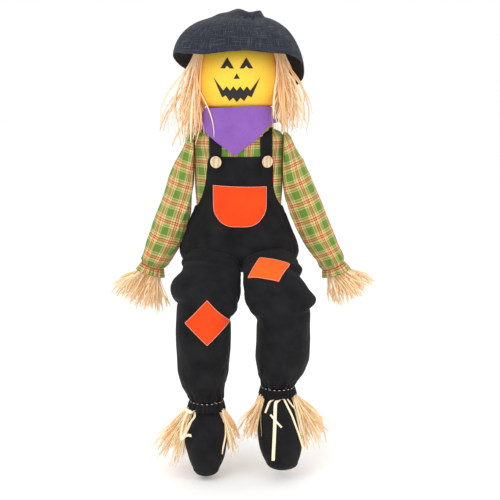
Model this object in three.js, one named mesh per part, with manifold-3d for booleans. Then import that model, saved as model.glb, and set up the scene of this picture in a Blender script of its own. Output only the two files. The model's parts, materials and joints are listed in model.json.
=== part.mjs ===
// A sitting scarecrow doll: a stuffed cloth figure for the edge of a chair, with its legs hanging over.
// Millimetres, +Z up, the face looks along -Y. The origin is on the flat underside that rests on the seat.
// Left and right are those of somebody who faces the doll: left is -X.
import * as THREE from "three";
import { mergeVertices } from "three/addons/utils/BufferGeometryUtils.js";
import Module from "manifold-3d";

const wasm = await Module();
wasm.setup();

// ---------- driving dimensions ----------
const CLOTH = 2.4; // thickness of a sewn cloth cover
const GAP = 0.4; // gap between touching pieces
const FAR = 1000; // size of a cutting box
const PAST = 5; // how far a cut runs past the face that it opens
const ELASTIC = 2; // thickness of the elastic in a gathered wrist or ankle

// Torso stuffing: half width at each height, from the flat bottom to the neck.
const TORSO_TOP = 396;
const TORSO = [
  [0, 6], [110, 6], [140, 14], [158, 34], [156, 60], [138, 105], [116, 150], [106, 180], [98, 215],
  [97, 250], [101, 290], [110, 325], [116, 350], [108, 368], [80, 380], [48, 388], [40, TORSO_TOP],
  [0, TORSO_TOP],
];
const TORSO_DEPTH = 0.65; // depth of the torso over its width
const SHIRT = [GAP, GAP + CLOTH]; // layers, counted outwards from the stuffing
const OVERALLS = [3.2, 6];
const POCKET = [6.4, 8.2];
const NECK = { radius: 34, top: 408.6, collar: [380, 420] };
const WAIST = 168; // top edge of the trousers
const BIB = { top: 312, halfTop: 83, halfWaist: 108 };
const POCKET_SHAPE = { x: 3, top: 236, bottom: 128, half: 70, corner: 52 };
const STRAP = { x: 65, half: 16.5 };
const BUTTON = { radius: 16, height: 299, rim: 2.8, thickness: 5.5, torsoHalf: 103, clear: 2.4 };

// Neckerchief: half width and half depth at each height.
const KERCHIEF = [
  [310, 118, 82], [352, 127, 89], [385, 116, 91], [405, 105, 94], [430, 102, 96], [450, 106, 101],
];
const KERCHIEF_BAND = [412, 434];
const KERCHIEF_PANEL = { half: 110, back: -20 };
const KERCHIEF_EDGE = [
  [-100, 382], [-52, 346], [-9, 315], [44, 354], [98, 397],
]; // lower edge in front, down to the point
const KERCHIEF_RIM = [[50, 441], [0, 444], [-50, 441]]; // upper edge in front
const KNOT = { y: 119, z: 423, radius: 13, tailThickness: 6 };
const KNOT_TAILS = [[-9, 418], [9, 418], [26, 372], [6, 360], [-6, 362], [-27, 376]];

// Head stuffing: half width at each height, from the neck opening to the crown.
const HEAD_BOTTOM = 412;
const HEAD = [
  [0, HEAD_BOTTOM], [38, HEAD_BOTTOM], [74, 425], [95, 445], [105, 475], [104, 510], [99, 545],
  [90, 580], [72, 605], [42, 619], [0, 623],
];
const HEAD_DEPTH = 0.92;
const FACE = { x: -4, layer: [3.2, 4.2] };
const EYE = { x: 24.5, base: 542, half: 17.5, height: 28, notch: 7 };
const NOSE = { base: 516, half: 8, height: 14 };
const MOUTH = {
  half: 60, corner: 519, upper: 486, lower: 456, upperHalf: 35, lowerHalf: 38, tooth: 11, teeth: 4,
};

// Hat: the brim bends down from the flattened crown like a dome.
const HAT = {
  crown: 58, brimTop: 668, top: 683, rimFront: 132, rimSide: 173, rimBack: 150, bend: 81, cloth: 3,
};
const CROWN_EDGE = { wall: 4, drop: 4, shoulder: 8, flat: 24 }; // the rounded edge of the crown
// Height of the brim's edge: it rises towards the front, falls towards +X and waves twice round.
const RIM = { middle: 557, frontRise: 35, sideFall: 10, waves: [-7, 6] };
// Where the brim droops lowest: [turn in degrees from the front to +X, depth, spread in degrees].
const DROOPS = [[112, 40, 30], [-120, 20, 27]];

const SHOULDER = { x: 126, z: 338, cut: 121 };
const WRIST = 32;
const FRILL = { from: 6.4, to: 22, flare: 44 };
const HAND = { length: 112, bound: 26, deep: 42 };
const HIP = { y: -104, z: 34 };
const LEG_ROOT = { radius: 12, behind: 8, stretch: 4.6 }; // leaves the trouser leg open at the hip
const PATCH = { size: 80, from: GAP, to: 1.8, front: [-90, -6] };
const KNEE_PATCH = { x: 7, below: 26 };
const THIGH_PATCH = { x: -20, down: 70, turn: -18 };
const ANKLE = 44; // radius of the gathered trouser hem
const HEM = { elastic: 6, frill: 26, flare: 9 };
const ANKLE_RAFFIA = { bound: 8, deep: 34, y: -6, z: -28 };
const BUNCHES = [
  { place: "outer", outwards: 1, length: 158, wide: 38, tilt: 31, out: 50 },
  { place: "inner", outwards: -1, length: 140, wide: 16, tilt: 6, out: 57 },
];
const BOOT = { depth: 0.84, top: 16, opening: 26, floor: 30 };

const SIDES = [
  {
    name: "left", sign: -1, arm: 352, armLean: 18.2, handTurn: 0, hand: 68,
    hipX: -80, yaw: 2.4, thigh: 139, thighPitch: 43.5, shin: 245, boot: 193, bootPitch: 17, bootWide: 84,
  },
  {
    name: "right", sign: 1, arm: 360, armLean: 21.5, handTurn: 14, hand: 92,
    hipX: 90, yaw: -7, thigh: 118.5, thighPitch: 31.5, shin: 241, boot: 214, bootPitch: 15, bootWide: 122,
  },
];

// Half profiles of the limbs, [radius, height], from the end that is held down.
const armForm = (length) => [
  [0, 43], [24, 39], [39, 22], [45, -4], [48, -60], [50, -150], [53, -230], [52, -275], [44, -length + 34],
  [WRIST, -length], [0, -length],
];
const thighForm = (length) => [
  [0, -9], [4, -11], [15, -36], [28, -54], [36, -length * 0.52], [31, -length + 46], [18, -length + 26],
  [4, -length + 9], [0, -length + 7],
];
const THIGH_WIDTH = 2.05; // width of a thigh over its thickness
const shinForm = (length) => [
  [0, -9], [5, -11], [22, -34], [42, -58], [56, -86], [58, -130], [56, -length + 80], [47, -length + 40],
  [38, -length + 16], [36, -length + 4], [0, -length + 4],
];
const bootForm = (length, widest) => [
  [0, -length], [18, -length + 3], [34, -length + 18], [45, -length + 45], [50.5, -widest - 12],
  [50, -widest + 14], [38, -52], [30, -32], [28, -BOOT.top], [0, -BOOT.top],
];

const HAIR_CLEARANCE = 4; // between the head and the hair
// Bunches of hair: [x, y, z, half width, half thickness] from under the hat down.
const HAIR = {
  left: [
    [-111, -30, 600, 12, 16], [-140, -36, 530, 24, 26], [-161, -48, 460, 34, 24],
    [-162, -62, 400, 30, 18], [-138, -70, 330, 14, 10],
  ],
  right: [
    [109, -30, 590, 12, 16], [134, -38, 530, 22, 26], [150, -50, 460, 30, 24],
    [160, -62, 410, 26, 18], [171, -70, 352, 14, 10],
  ],
};

const degrees = THREE.MathUtils.degToRad;

// ---------- materials ----------
const cloth = (color, roughness = 0.9) => new THREE.MeshStandardMaterial({ color, roughness, metalness: 0 });
const PAINT = {
  stuffing: cloth(0xf2efe6, 1),
  plaid: cloth(0x9aa653),
  black: cloth(0x16161a),
  denim: cloth(0x3c4250),
  yellow: cloth(0xffc829, 0.6),
  print: cloth(0x14130f, 0.8),
  purple: cloth(0x8f62bd),
  orange: cloth(0xf04a1c),
  elastic: cloth(0xe8e4da, 0.8),
  straw: cloth(0xf0c48c, 0.7),
  hair: cloth(0xf2a868, 0.7),
  wood: cloth(0xe6cfae, 0.55),
};

// ---------- solids ----------
// A closed three.js geometry as a manifold-3d solid.
function solid(geometry, matrix = new THREE.Matrix4()) {
  const bare = new THREE.BufferGeometry();
  bare.setAttribute("position", geometry.getAttribute("position").clone());
  if (geometry.index) bare.setIndex(geometry.index.clone());
  bare.applyMatrix4(matrix);
  const merged = mergeVertices(bare, 1e-4);
  const build = (triVerts) =>
    new wasm.Manifold(
      new wasm.Mesh({ numProp: 3, vertProperties: merged.attributes.position.array, triVerts }),
    );
  const triangles = new Uint32Array(merged.index.array);
  const made = build(triangles);
  if (made.volume() > 0) return made;
  return build(triangles.map((v, i) => [v, triangles[i + 1], triangles[i - 1]][i % 3]));
}

function geometryOf(body) {
  const mesh = body.getMesh();
  const positions = new Float32Array(mesh.numVert * 3);
  for (let i = 0; i < mesh.numVert; i++)
    for (let k = 0; k < 3; k++) positions[3 * i + k] = mesh.vertProperties[mesh.numProp * i + k];
  const geometry = new THREE.BufferGeometry();
  geometry.setAttribute("position", new THREE.BufferAttribute(positions, 3));
  geometry.setIndex(new THREE.BufferAttribute(mesh.triVerts, 1));
  geometry.computeVertexNormals();
  return geometry;
}

function add(group, name, body, material) {
  const mesh = new THREE.Mesh(geometryOf(body), material);
  mesh.name = name;
  group.add(mesh);
  return mesh;
}

// A solid of revolution about +Z. The profile is [radius, height] pairs that start and end on the axis.
function turned(profile, sides = 20) {
  const points = profile.map(([r, z]) => new THREE.Vector2(r, z));
  return new THREE.LatheGeometry(points, sides).rotateX(Math.PI / 2);
}

// Moves every vertex of a geometry.
function moved(geometry, move) {
  const at = geometry.getAttribute("position");
  const p = new THREE.Vector3();
  for (let i = 0; i < at.count; i++) {
    p.fromBufferAttribute(at, i);
    move(p);
    at.setXYZ(i, p.x, p.y, p.z);
  }
  return geometry;
}

// A turned form, flattened in depth and then grown outwards by a distance, for layers of cloth.
function layer(profile, depth, grow) {
  const [bottom, top] = [profile[0][1], profile.at(-1)[1]];
  const middle = (bottom + top) / 2;
  return solid(
    moved(turned(profile, 18), (p) => {
      const r = Math.hypot(p.x, p.y) || 1;
      const rise = (grow * (p.z - middle)) / (top - middle);
      p.set(p.x + (grow * p.x) / r, depth * p.y + (grow * p.y) / r, p.z + rise);
    }),
  );
}
const torso = (grow) => layer(TORSO, TORSO_DEPTH, grow);
const head = (grow) => layer(HEAD, HEAD_DEPTH, grow);
const skin = (form, [from, to]) => form(to).subtract(form(from));

// The largest of the separate pieces that a cut leaves.
const biggest = (body) => body.decompose().sort((a, b) => b.volume() - a.volume())[0];

function box(x0, x1, y0, y1, z0, z1) {
  const size = [x1 - x0, y1 - y0, z1 - z0];
  return solid(new THREE.BoxGeometry(...size).translate((x0 + x1) / 2, (y0 + y1) / 2, (z0 + z1) / 2));
}
const above = (z) => box(-FAR, FAR, -FAR, FAR, z, FAR);
const below = (z) => box(-FAR, FAR, -FAR, FAR, -FAR, z);

function rod(radius, z0, z1, sides = 20) {
  const geometry = new THREE.CylinderGeometry(radius, radius, z1 - z0, sides);
  return solid(geometry.rotateX(Math.PI / 2).translate(0, 0, (z0 + z1) / 2));
}

// A flat outline in the XZ plane, pushed through from y0 to y1.
function prism(shape, y0 = -FAR, y1 = 0) {
  const push = { depth: y1 - y0, bevelEnabled: false, curveSegments: 6 };
  const geometry = new THREE.ExtrudeGeometry(shape, push);
  return solid(geometry.rotateX(Math.PI / 2).translate(0, y1, 0));
}
const outline = (points) => new THREE.Shape(points.map(([x, z]) => new THREE.Vector2(x, z)));

// The values of a table's row at a place between its rows. A row starts with its place.
function between(rows, place) {
  const n = THREE.MathUtils.clamp(rows.findIndex((row) => row[0] >= place), 1, rows.length - 1);
  const [a, b] = place > rows.at(-1)[0] ? [rows.at(-2), rows.at(-1)] : [rows[n - 1], rows[n]];
  const share = THREE.MathUtils.clamp((place - a[0]) / (b[0] - a[0]), 0, 1);
  return a.slice(1).map((value, i) => THREE.MathUtils.lerp(value, b[i + 1], share));
}

// A closed oval tube bent along a curve. A row holds [share of the length, half width in x, half thickness].
function bent(curve, rows, sides, rings) {
  const tangent = new THREE.Vector3();
  const side = new THREE.Vector3();
  return solid(
    moved(new THREE.CylinderGeometry(1, 1, 1, sides, rings), (p) => {
      const share = THREE.MathUtils.clamp(0.5 - p.y, 0, 1);
      const [width, thickness] = between(rows, share);
      const [across, through] = [p.x * width, p.z * thickness];
      curve.getTangentAt(share, tangent);
      side.set(1, 0, 0).addScaledVector(tangent, -tangent.x).normalize();
      curve.getPointAt(share, p);
      p.addScaledVector(side, across).addScaledVector(side.clone().cross(tangent), through);
    }),
  );
}
const path = (points) => new THREE.CatmullRomCurve3(points.map((p) => new THREE.Vector3(...p)));

// A bunch of raffia that flares from its bound end, hanging along -Z.
function tuft(length, bound, wide, deep) {
  const profile = [[0, -length], [0.8, -length + 6], [1, -length + 16], [0.72, -length * 0.5],
    [0.33, -length * 0.2], [bound, -10], [bound, 0], [0, 0]];
  return solid(turned(profile, 10).scale(wide, deep, 1));
}

// A ring of cloth or elastic round -Z, from one height to another.
function ring(top, bottom, radiusTop, radiusBottom, thickness) {
  const profile = [[radiusTop - thickness, top], [radiusTop, top], [radiusBottom, bottom],
    [radiusBottom - thickness, bottom], [radiusTop - thickness, top]];
  return solid(turned(profile, 12));
}

const doll = new THREE.Group();

// ---------- torso ----------
function makeTorso(group) {
  const collar = rod(NECK.radius + CLOTH, ...NECK.collar);
  add(group, "torso_stuffing", torso(0), PAINT.stuffing);
  add(group, "shirt_body", skin(torso, SHIRT).subtract(collar), PAINT.plaid);
  add(group, "neck_stuffing", rod(NECK.radius, TORSO_TOP + GAP, NECK.top), PAINT.stuffing);

  const bibShape = outline([
    [-BIB.halfWaist, WAIST + GAP], [BIB.halfWaist, WAIST + GAP],
    [BIB.halfTop, BIB.top], [-BIB.halfTop, BIB.top],
  ]);
  add(group, "overalls_seat", skin(torso, OVERALLS).intersect(below(WAIST)), PAINT.black);
  add(group, "overalls_bib", skin(torso, OVERALLS).intersect(prism(bibShape)), PAINT.black);

  const { x, top, bottom, half, corner } = POCKET_SHAPE;
  const pocket = new THREE.Shape();
  pocket.moveTo(x - half, top);
  pocket.lineTo(x - half, bottom + corner);
  pocket.absarc(x - half + corner, bottom + corner, corner, Math.PI, 1.5 * Math.PI);
  pocket.absarc(x + half - corner, bottom + corner, corner, 1.5 * Math.PI, 2 * Math.PI);
  pocket.lineTo(x + half, top);
  const openTop = above(top - 1);
  add(group, "bib_pocket", skin(torso, POCKET).intersect(prism(pocket)).subtract(openTop), PAINT.orange);

  for (const { name, sign } of SIDES) {
    const [x0, x1] = [sign * STRAP.x - STRAP.half, sign * STRAP.x + STRAP.half];
    const bibPlace = box(x0 - 1, x1 + 1, -FAR, 0, 0, BIB.top + GAP);
    const band = box(x0, x1, -FAR, FAR, WAIST + GAP, FAR).subtract(bibPlace);
    add(group, "strap_" + name, skin(torso, OVERALLS).intersect(band), PAINT.black);
    addButton(group, "button_" + name, sign * (STRAP.x + 1));
  }
}

// A turned wooden button that lies flat on the corner of the bib.
function addButton(group, name, x) {
  const { radius, rim, thickness, height, torsoHalf, clear } = BUTTON;
  const y = -TORSO_DEPTH * Math.sqrt(torsoHalf ** 2 - x ** 2);
  const normal = new THREE.Vector3(x * TORSO_DEPTH ** 2, y, 0).normalize();
  const profile = [[0, 0], [radius - 1.5, 0], [radius, 1.5], [radius, thickness - 1], [radius - 1, thickness],
    [radius - rim, thickness], [radius - rim - 1, thickness - 1.4], [0, thickness - 1.4]];
  const button = add(group, name, solid(turned(profile, 16)), PAINT.wood);
  button.position.set(x, y, height).addScaledVector(normal, OVERALLS[1] + clear);
  button.quaternion.setFromUnitVectors(new THREE.Vector3(0, 0, 1), normal);
}

// The neckerchief hangs to a point in front and narrows to a band behind the neck, where it is knotted.
function makeNeckerchief(group) {
  const [bottom, top] = [KERCHIEF[0][0], KERCHIEF.at(-1)[0]];
  const profile = [[0, bottom], ...KERCHIEF.map(([z]) => [1, z]), [0, top]];
  const wrap = (grow) =>
    solid(
      moved(turned(profile, 20), (p) => {
        const [width, depth] = between(KERCHIEF, p.z);
        p.set(p.x * (width + grow), p.y * (depth + grow), p.z + grow * Math.sign(p.z - 400));
      }),
    );
  const [low, high] = KERCHIEF_BAND;
  const half = KERCHIEF_PANEL.half;
  const hanging = outline([
    [-half, low], ...KERCHIEF_EDGE, [half, low], [half, high], ...KERCHIEF_RIM, [-half, high],
  ]);
  const band = box(-FAR, FAR, KERCHIEF_PANEL.back - 1, FAR, low, high);
  const panel = prism(hanging, -FAR, KERCHIEF_PANEL.back);
  const shape = wrap(CLOTH).subtract(wrap(0)).intersect(panel.add(band));
  add(group, "neckerchief", shape, PAINT.purple);
  const ball = new THREE.SphereGeometry(KNOT.radius, 8, 6).scale(1.3, 0.85, 1).translate(0, KNOT.y, KNOT.z);
  const deep = KNOT.tailThickness / 2;
  const tails = prism(outline(KNOT_TAILS), KNOT.y - deep, KNOT.y + deep);
  add(group, "neckerchief_knot", solid(ball).add(tails), PAINT.purple);
}

// ---------- head ----------
function makeHead(group) {
  add(group, "head_stuffing", head(0), PAINT.stuffing);
  const throat = rod(NECK.radius + 2, NECK.collar[0], HEAD_BOTTOM - 0.2);
  add(group, "head_cover", skin(head, SHIRT).subtract(throat), PAINT.yellow);

  const face = (points) => {
    const shape = outline(points.map(([x, z]) => [x + FACE.x, z]));
    return skin(head, FACE.layer).intersect(prism(shape));
  };
  for (const { name, sign } of SIDES) {
    const { x, base, half, height, notch } = EYE;
    const middle = sign * x;
    const eye = [
      [middle - half, base], [middle - half * 0.35, base], [middle, base + notch],
      [middle + half * 0.35, base], [middle + half, base], [middle, base + height],
    ];
    add(group, "eye_" + name, face(eye), PAINT.print);
  }
  const nose = [[-NOSE.half, NOSE.base], [NOSE.half, NOSE.base], [0, NOSE.base + NOSE.height]];
  add(group, "nose", face(nose), PAINT.print);
  add(group, "mouth", face(mouthOutline()), PAINT.print);
}

// A toothed grin: both lips are zigzags that hang between the two raised corners.
function mouthOutline() {
  const { half, corner, upper, lower, upperHalf, lowerHalf, tooth, teeth } = MOUTH;
  const zigzag = (halfWidth, height, rise) =>
    Array.from({ length: 2 * teeth + 1 }, (_, i) => {
      const share = i / teeth - 1;
      return [share * halfWidth, height + rise * share ** 2 + (i % 2 ? tooth : 0)];
    });
  const upperLip = zigzag(upperHalf, upper, 0).reverse();
  return [[-half, corner], ...zigzag(lowerHalf, lower, 12), [half, corner], ...upperLip];
}

function makeHair(group) {
  for (const { name } of SIDES) {
    const rows = HAIR[name];
    const curve = path(rows.map(([x, y, z]) => [x, y, z]));
    const sizes = rows.map(([, , , width, thickness], i) => [i / (rows.length - 1), width, thickness]);
    const bunch = bent(curve, sizes, 10, 8);
    add(group, "hair_" + name, bunch.subtract(head(HAIR_CLEARANCE)), PAINT.hair);
  }
}

// ---------- hat ----------
// The drooping edge of the brim in each direction; 0 is the front and a quarter turn is +X.
function rim(turn) {
  const [x, y] = [Math.sin(turn), Math.cos(turn)];
  const wave = RIM.waves[0] * Math.cos(2 * turn) + RIM.waves[1] * Math.sin(2 * turn);
  const level = RIM.middle + RIM.frontRise * y - RIM.sideFall * x + wave;
  const droop = ([at, depth, spread]) => {
    const away = Math.abs(turn - degrees(at));
    return depth * Math.exp(-((Math.min(away, 2 * Math.PI - away) / degrees(spread)) ** 2));
  };
  const height = DROOPS.reduce((z, lobe) => z - droop(lobe), level);
  return { radius: Math.hypot(HAT.rimSide * x, (y > 0 ? HAT.rimFront : HAT.rimBack) * y), height };
}

function makeHat(group) {
  const steps = [0, 0.25, 0.5, 0.75, 1];
  const top = steps.map((s) => [1 + s, 1]);
  const under = steps.map((s) => [1 + s, 0]).reverse();
  const brim = moved(turned([...top, ...under, top[0]], 24), (p) => {
    const turn = Math.atan2(p.x, -p.y);
    const bend = degrees(HAT.bend) * (Math.hypot(p.x, p.y) - 1);
    const { radius, height } = rim(turn);
    const out = Math.sin(bend) / Math.sin(degrees(HAT.bend));
    const down = (1 - Math.cos(bend)) / (1 - Math.cos(degrees(HAT.bend)));
    const inset = p.z > 0.5 ? 0 : HAT.cloth;
    const r = THREE.MathUtils.lerp(HAT.crown, radius, out) - inset * Math.sin(bend);
    const z = THREE.MathUtils.lerp(HAT.brimTop, height, down) - inset * Math.cos(bend);
    p.set(r * Math.sin(turn), -r * Math.cos(turn), z);
  });
  add(group, "hat_brim", solid(brim), PAINT.denim);
  const { crown, brimTop, cloth: thick } = HAT;
  const { wall, drop, shoulder, flat } = CROWN_EDGE;
  const dome = (inset) => {
    const r = crown - inset;
    const z = HAT.top - inset;
    const base = brimTop + GAP - inset * PAST;
    const profile = [[0, base], [r, base], [r, brimTop + wall - inset], [r - shoulder, z - drop],
      [r - flat, z], [0, z]];
    return solid(turned(profile, 16));
  };
  add(group, "hat_crown", dome(0).subtract(dome(thick)), PAINT.denim);
}

// ---------- arms ----------
function makeArm(group, side) {
  const { name, sign, arm: length, armLean, hand, handTurn } = side;
  const arm = new THREE.Group();
  arm.position.set(sign * SHOULDER.x, 0, SHOULDER.z);
  arm.rotation.y = -sign * degrees(armLean);
  arm.updateMatrix();
  // The arm is cut off in a plane square to the shoulder's axis, so that it swings beside the torso.
  const outside = box(SHOULDER.cut, FAR, -FAR, FAR, -FAR, FAR).scale([sign, 1, 1]);
  const keep = outside.transform(arm.matrix.clone().invert().elements);
  const form = (grow) =>
    solid(
      moved(turned(armForm(length), 14), (p) => {
        const r = Math.hypot(p.x, p.y) || 1;
        const domed = p.z > 0 ? grow : 0;
        p.set(p.x + (grow * p.x) / r, p.y + (grow * p.y) / r, p.z + domed);
      }),
    );
  add(arm, "arm_stuffing_" + name, form(0).intersect(keep).intersect(above(2 - length)), PAINT.stuffing);
  const hollow = form(GAP).add(rod(WRIST, -length - PAST, PAST - length));
  add(arm, "sleeve_" + name, form(GAP + CLOTH).subtract(hollow).intersect(keep), PAINT.plaid);
  const cuff = WRIST + ELASTIC;
  const elastic = ring(-length - GAP, -length - FRILL.from + GAP, cuff, cuff, ELASTIC);
  add(arm, "wrist_elastic_" + name, elastic, PAINT.elastic);
  const frill = ring(-length - FRILL.from, -length - FRILL.to, cuff, FRILL.flare, CLOTH);
  add(arm, "sleeve_frill_" + name, frill, PAINT.plaid);
  const straw = tuft(HAND.length, HAND.bound / hand, hand, HAND.deep);
  const raffia = add(arm, "hand_raffia_" + name, straw, PAINT.straw);
  raffia.position.z = -length - FRILL.from;
  raffia.rotation.y = -sign * degrees(handTurn);
  group.add(arm);
}

// ---------- legs ----------
// The stuffing of each half of a leg tapers towards the joints, so that the cloth can fold there.
const thighStuffing = (length) => solid(turned(thighForm(length).reverse(), 12).scale(THIGH_WIDTH, 1, 1));
const shinStuffing = (length) => solid(turned(shinForm(length).reverse(), 14));

// One trouser leg covers both halves: flat over the thigh, round below the knee, drawn in at the ankle.
function trouserLeg(side, knee) {
  const { thigh, shin } = side;
  const alongThigh = (share) => [0, share * knee.y, share * knee.z];
  const alongShin = (share) => [0, knee.y, knee.z - share * shin];
  const centre = path([alongThigh(0.02), alongThigh(0.3), alongThigh(0.62), [0, knee.y + 6, knee.z - 6],
    alongShin(0.28), alongShin(0.5), alongShin(0.75), alongShin(1)]);
  const length = centre.getLength();
  const atKnee = thigh / length;
  const fromHem = (distance) => 1 - distance / length;
  const rows = [
    [0, 58, 13], [0.08, 74, 30], [0.18, 79, 38], [atKnee - 0.1, 79, 42], [atKnee, 73, 54],
    [fromHem(shin - 45), 66, 62], [fromHem(110), 63, 62], [fromHem(45), 54, 53], [fromHem(18), 46, 46],
    [1, ANKLE - CLOTH, ANKLE - CLOTH],
  ];
  const grown = (grow) => rows.map(([share, width, thickness]) => [share, width + grow, thickness + grow]);
  return (grow) => bent(centre, grown(grow), 16, 14);
}

function makeLeg(group, side) {
  const { name, hipX, yaw, thigh: thighLength, thighPitch, shin: shinLength } = side;
  const leg = new THREE.Group();
  leg.position.set(hipX, HIP.y, HIP.z);
  leg.rotation.z = -degrees(yaw);
  leg.updateMatrix();
  const pitch = degrees(thighPitch);
  const knee = new THREE.Vector3(0, -thighLength * Math.cos(pitch), -thighLength * Math.sin(pitch));

  const thigh = new THREE.Group();
  thigh.rotation.x = pitch - Math.PI / 2;
  thigh.updateMatrix();
  leg.add(thigh);
  add(thigh, "thigh_stuffing_" + name, thighStuffing(thighLength), PAINT.stuffing);
  const shin = new THREE.Group();
  shin.position.copy(knee);
  leg.add(shin);
  add(shin, "shin_stuffing_" + name, shinStuffing(shinLength), PAINT.stuffing);

  const trousers = trouserLeg(side, knee);
  const hips = torso(OVERALLS[1] + 1).transform(leg.matrix.clone().invert().elements);
  const hemHeight = knee.z - shinLength;
  const hem = rod(ANKLE - CLOTH, hemHeight - PAST, hemHeight + PAST).translate([0, knee.y, 0]);
  const { radius, behind, stretch } = LEG_ROOT;
  const root = rod(radius, -behind, radius).scale([stretch, 1, 1]).transform(thigh.matrix.elements);
  const shell = trousers(CLOTH).subtract(trousers(0)).subtract(hem).subtract(root).subtract(hips);
  add(leg, "trouser_leg_" + name, biggest(shell), PAINT.black);
  addPatch(leg, side, trousers, knee, thigh.matrix);

  const ankle = new THREE.Group();
  ankle.position.set(0, knee.y, knee.z - shinLength);
  leg.add(ankle);
  addAnkle(ankle, side);
  addBoot(ankle, side);
  group.add(leg);
}

// A square of felt on each trouser leg: standing on its corner below the left knee, and on the right thigh.
function addPatch(leg, side, trousers, knee, thighPlace) {
  const half = PATCH.size / 2;
  const square = outline([[-half, -half], [half, -half], [half, half], [-half, half]]);
  const place = new THREE.Matrix4();
  if (side.sign < 0) {
    place.makeRotationY(Math.PI / 4).setPosition(KNEE_PATCH.x, knee.y, knee.z - KNEE_PATCH.below);
  } else {
    place.copy(thighPlace);
    place.multiply(new THREE.Matrix4().makeTranslation(THIGH_PATCH.x, 0, -THIGH_PATCH.down));
    place.multiply(new THREE.Matrix4().makeRotationY(degrees(THIGH_PATCH.turn)));
  }
  const cutter = prism(square, ...PATCH.front).transform(place.elements);
  const felt = trousers(CLOTH + PATCH.to).subtract(trousers(CLOTH + PATCH.from));
  const patchName = side.sign < 0 ? "patch_left_knee" : "patch_right_thigh";
  add(leg, patchName, felt.intersect(cutter), PAINT.orange);
}

function addAnkle(ankle, side) {
  const { name, sign } = side;
  const elastic = ring(-GAP, -HEM.elastic, ANKLE, ANKLE, ELASTIC);
  add(ankle, "ankle_elastic_" + name, elastic, PAINT.elastic);
  const frill = ring(-HEM.elastic - GAP, -HEM.frill, ANKLE, ANKLE + HEM.flare, CLOTH);
  add(ankle, "trouser_frill_" + name, frill, PAINT.black);
  for (const { place, outwards, length, wide, tilt, out } of BUNCHES) {
    const straw = tuft(length, ANKLE_RAFFIA.bound / wide, wide, ANKLE_RAFFIA.deep);
    const raffia = add(ankle, `ankle_raffia_${name}_${place}`, straw, PAINT.straw);
    raffia.position.set(sign * outwards * out, ANKLE_RAFFIA.y, ANKLE_RAFFIA.z);
    raffia.rotation.y = -sign * outwards * degrees(tilt);
  }
}

// A cloth boot whose toe hangs down.
function addBoot(ankle, side) {
  const { name, boot: length, bootPitch, bootWide } = side;
  const foot = new THREE.Group();
  foot.rotation.x = -degrees(bootPitch);
  ankle.add(foot);
  const form = (grow) => {
    const profile = bootForm(length, bootWide);
    return solid(
      moved(turned(profile, 14), (p) => {
        const r = Math.hypot(p.x, p.y) || 1;
        const drop = (grow * Math.min(p.z + BOOT.top, 0)) / length;
        p.set(p.x + (grow * p.x) / r, BOOT.depth * p.y + (grow * p.y) / r, p.z + drop);
      }),
    );
  };
  add(foot, "boot_stuffing_" + name, form(0), PAINT.stuffing);
  const opening = rod(BOOT.opening, -BOOT.floor, -BOOT.top + PAST, 14).scale([1, BOOT.depth, 1]);
  add(foot, "boot_" + name, form(GAP + CLOTH).subtract(form(GAP).add(opening)), PAINT.black);
}

makeTorso(doll);
makeNeckerchief(doll);
makeHead(doll);
makeHair(doll);
makeHat(doll);
for (const side of SIDES) {
  makeArm(doll, side);
  makeLeg(doll, side);
}

export default doll;
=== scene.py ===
# A sitting scarecrow doll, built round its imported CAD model. Metres, +Z up, the face looks along -Y.
import json
import math

import bmesh
import bpy
import numpy as np
from mathutils import Matrix, Vector, noise
from mathutils.bvhtree import BVHTree
from mathutils.geometry import delaunay_2d_cdt


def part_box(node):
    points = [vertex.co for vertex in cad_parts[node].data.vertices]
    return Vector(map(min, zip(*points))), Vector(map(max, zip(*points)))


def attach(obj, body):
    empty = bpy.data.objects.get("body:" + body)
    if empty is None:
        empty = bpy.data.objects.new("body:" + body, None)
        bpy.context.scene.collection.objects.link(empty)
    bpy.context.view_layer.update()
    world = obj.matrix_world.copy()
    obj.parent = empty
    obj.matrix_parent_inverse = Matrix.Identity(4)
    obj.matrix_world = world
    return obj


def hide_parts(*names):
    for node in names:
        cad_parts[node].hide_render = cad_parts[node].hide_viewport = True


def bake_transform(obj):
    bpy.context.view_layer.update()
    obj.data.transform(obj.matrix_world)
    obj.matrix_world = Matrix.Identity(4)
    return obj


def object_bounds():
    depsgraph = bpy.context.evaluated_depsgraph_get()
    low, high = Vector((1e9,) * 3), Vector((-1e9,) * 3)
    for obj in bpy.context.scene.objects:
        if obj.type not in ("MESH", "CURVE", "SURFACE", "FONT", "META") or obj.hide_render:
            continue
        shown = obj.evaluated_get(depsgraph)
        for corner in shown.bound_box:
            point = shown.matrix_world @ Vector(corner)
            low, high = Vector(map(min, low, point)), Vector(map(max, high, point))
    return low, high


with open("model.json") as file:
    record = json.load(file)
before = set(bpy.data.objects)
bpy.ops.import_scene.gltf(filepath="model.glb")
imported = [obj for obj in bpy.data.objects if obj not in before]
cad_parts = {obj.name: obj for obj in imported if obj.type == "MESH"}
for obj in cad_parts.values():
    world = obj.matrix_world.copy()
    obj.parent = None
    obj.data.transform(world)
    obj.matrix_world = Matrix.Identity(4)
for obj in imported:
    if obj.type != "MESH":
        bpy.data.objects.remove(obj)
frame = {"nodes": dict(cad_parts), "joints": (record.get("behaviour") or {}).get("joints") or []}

MM = 0.001
TAU = 2 * math.pi
SIDES = {"left": -1, "right": 1}
CAD_BOX = [list(corner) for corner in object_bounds()]
JOINTS = {joint["name"]: joint for joint in frame["joints"]}
CAMERA = {"place": (30 * MM, -3200 * MM, 714 * MM), "down": math.atan(250 / 1200), "lens": 86.4}
FLOOR = CAD_BOX[0][2] - 12 * MM
PLAID_REPEAT = 51 * MM


# ---------- reading the frame ----------
def joint_place(name):
    return np.array(JOINTS[name]["pos_m"], float)


def box(node):
    low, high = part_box(node)
    return np.array(low), np.array(high)


def middle(node):
    low, high = box(node)
    return (low + high) / 2


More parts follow.
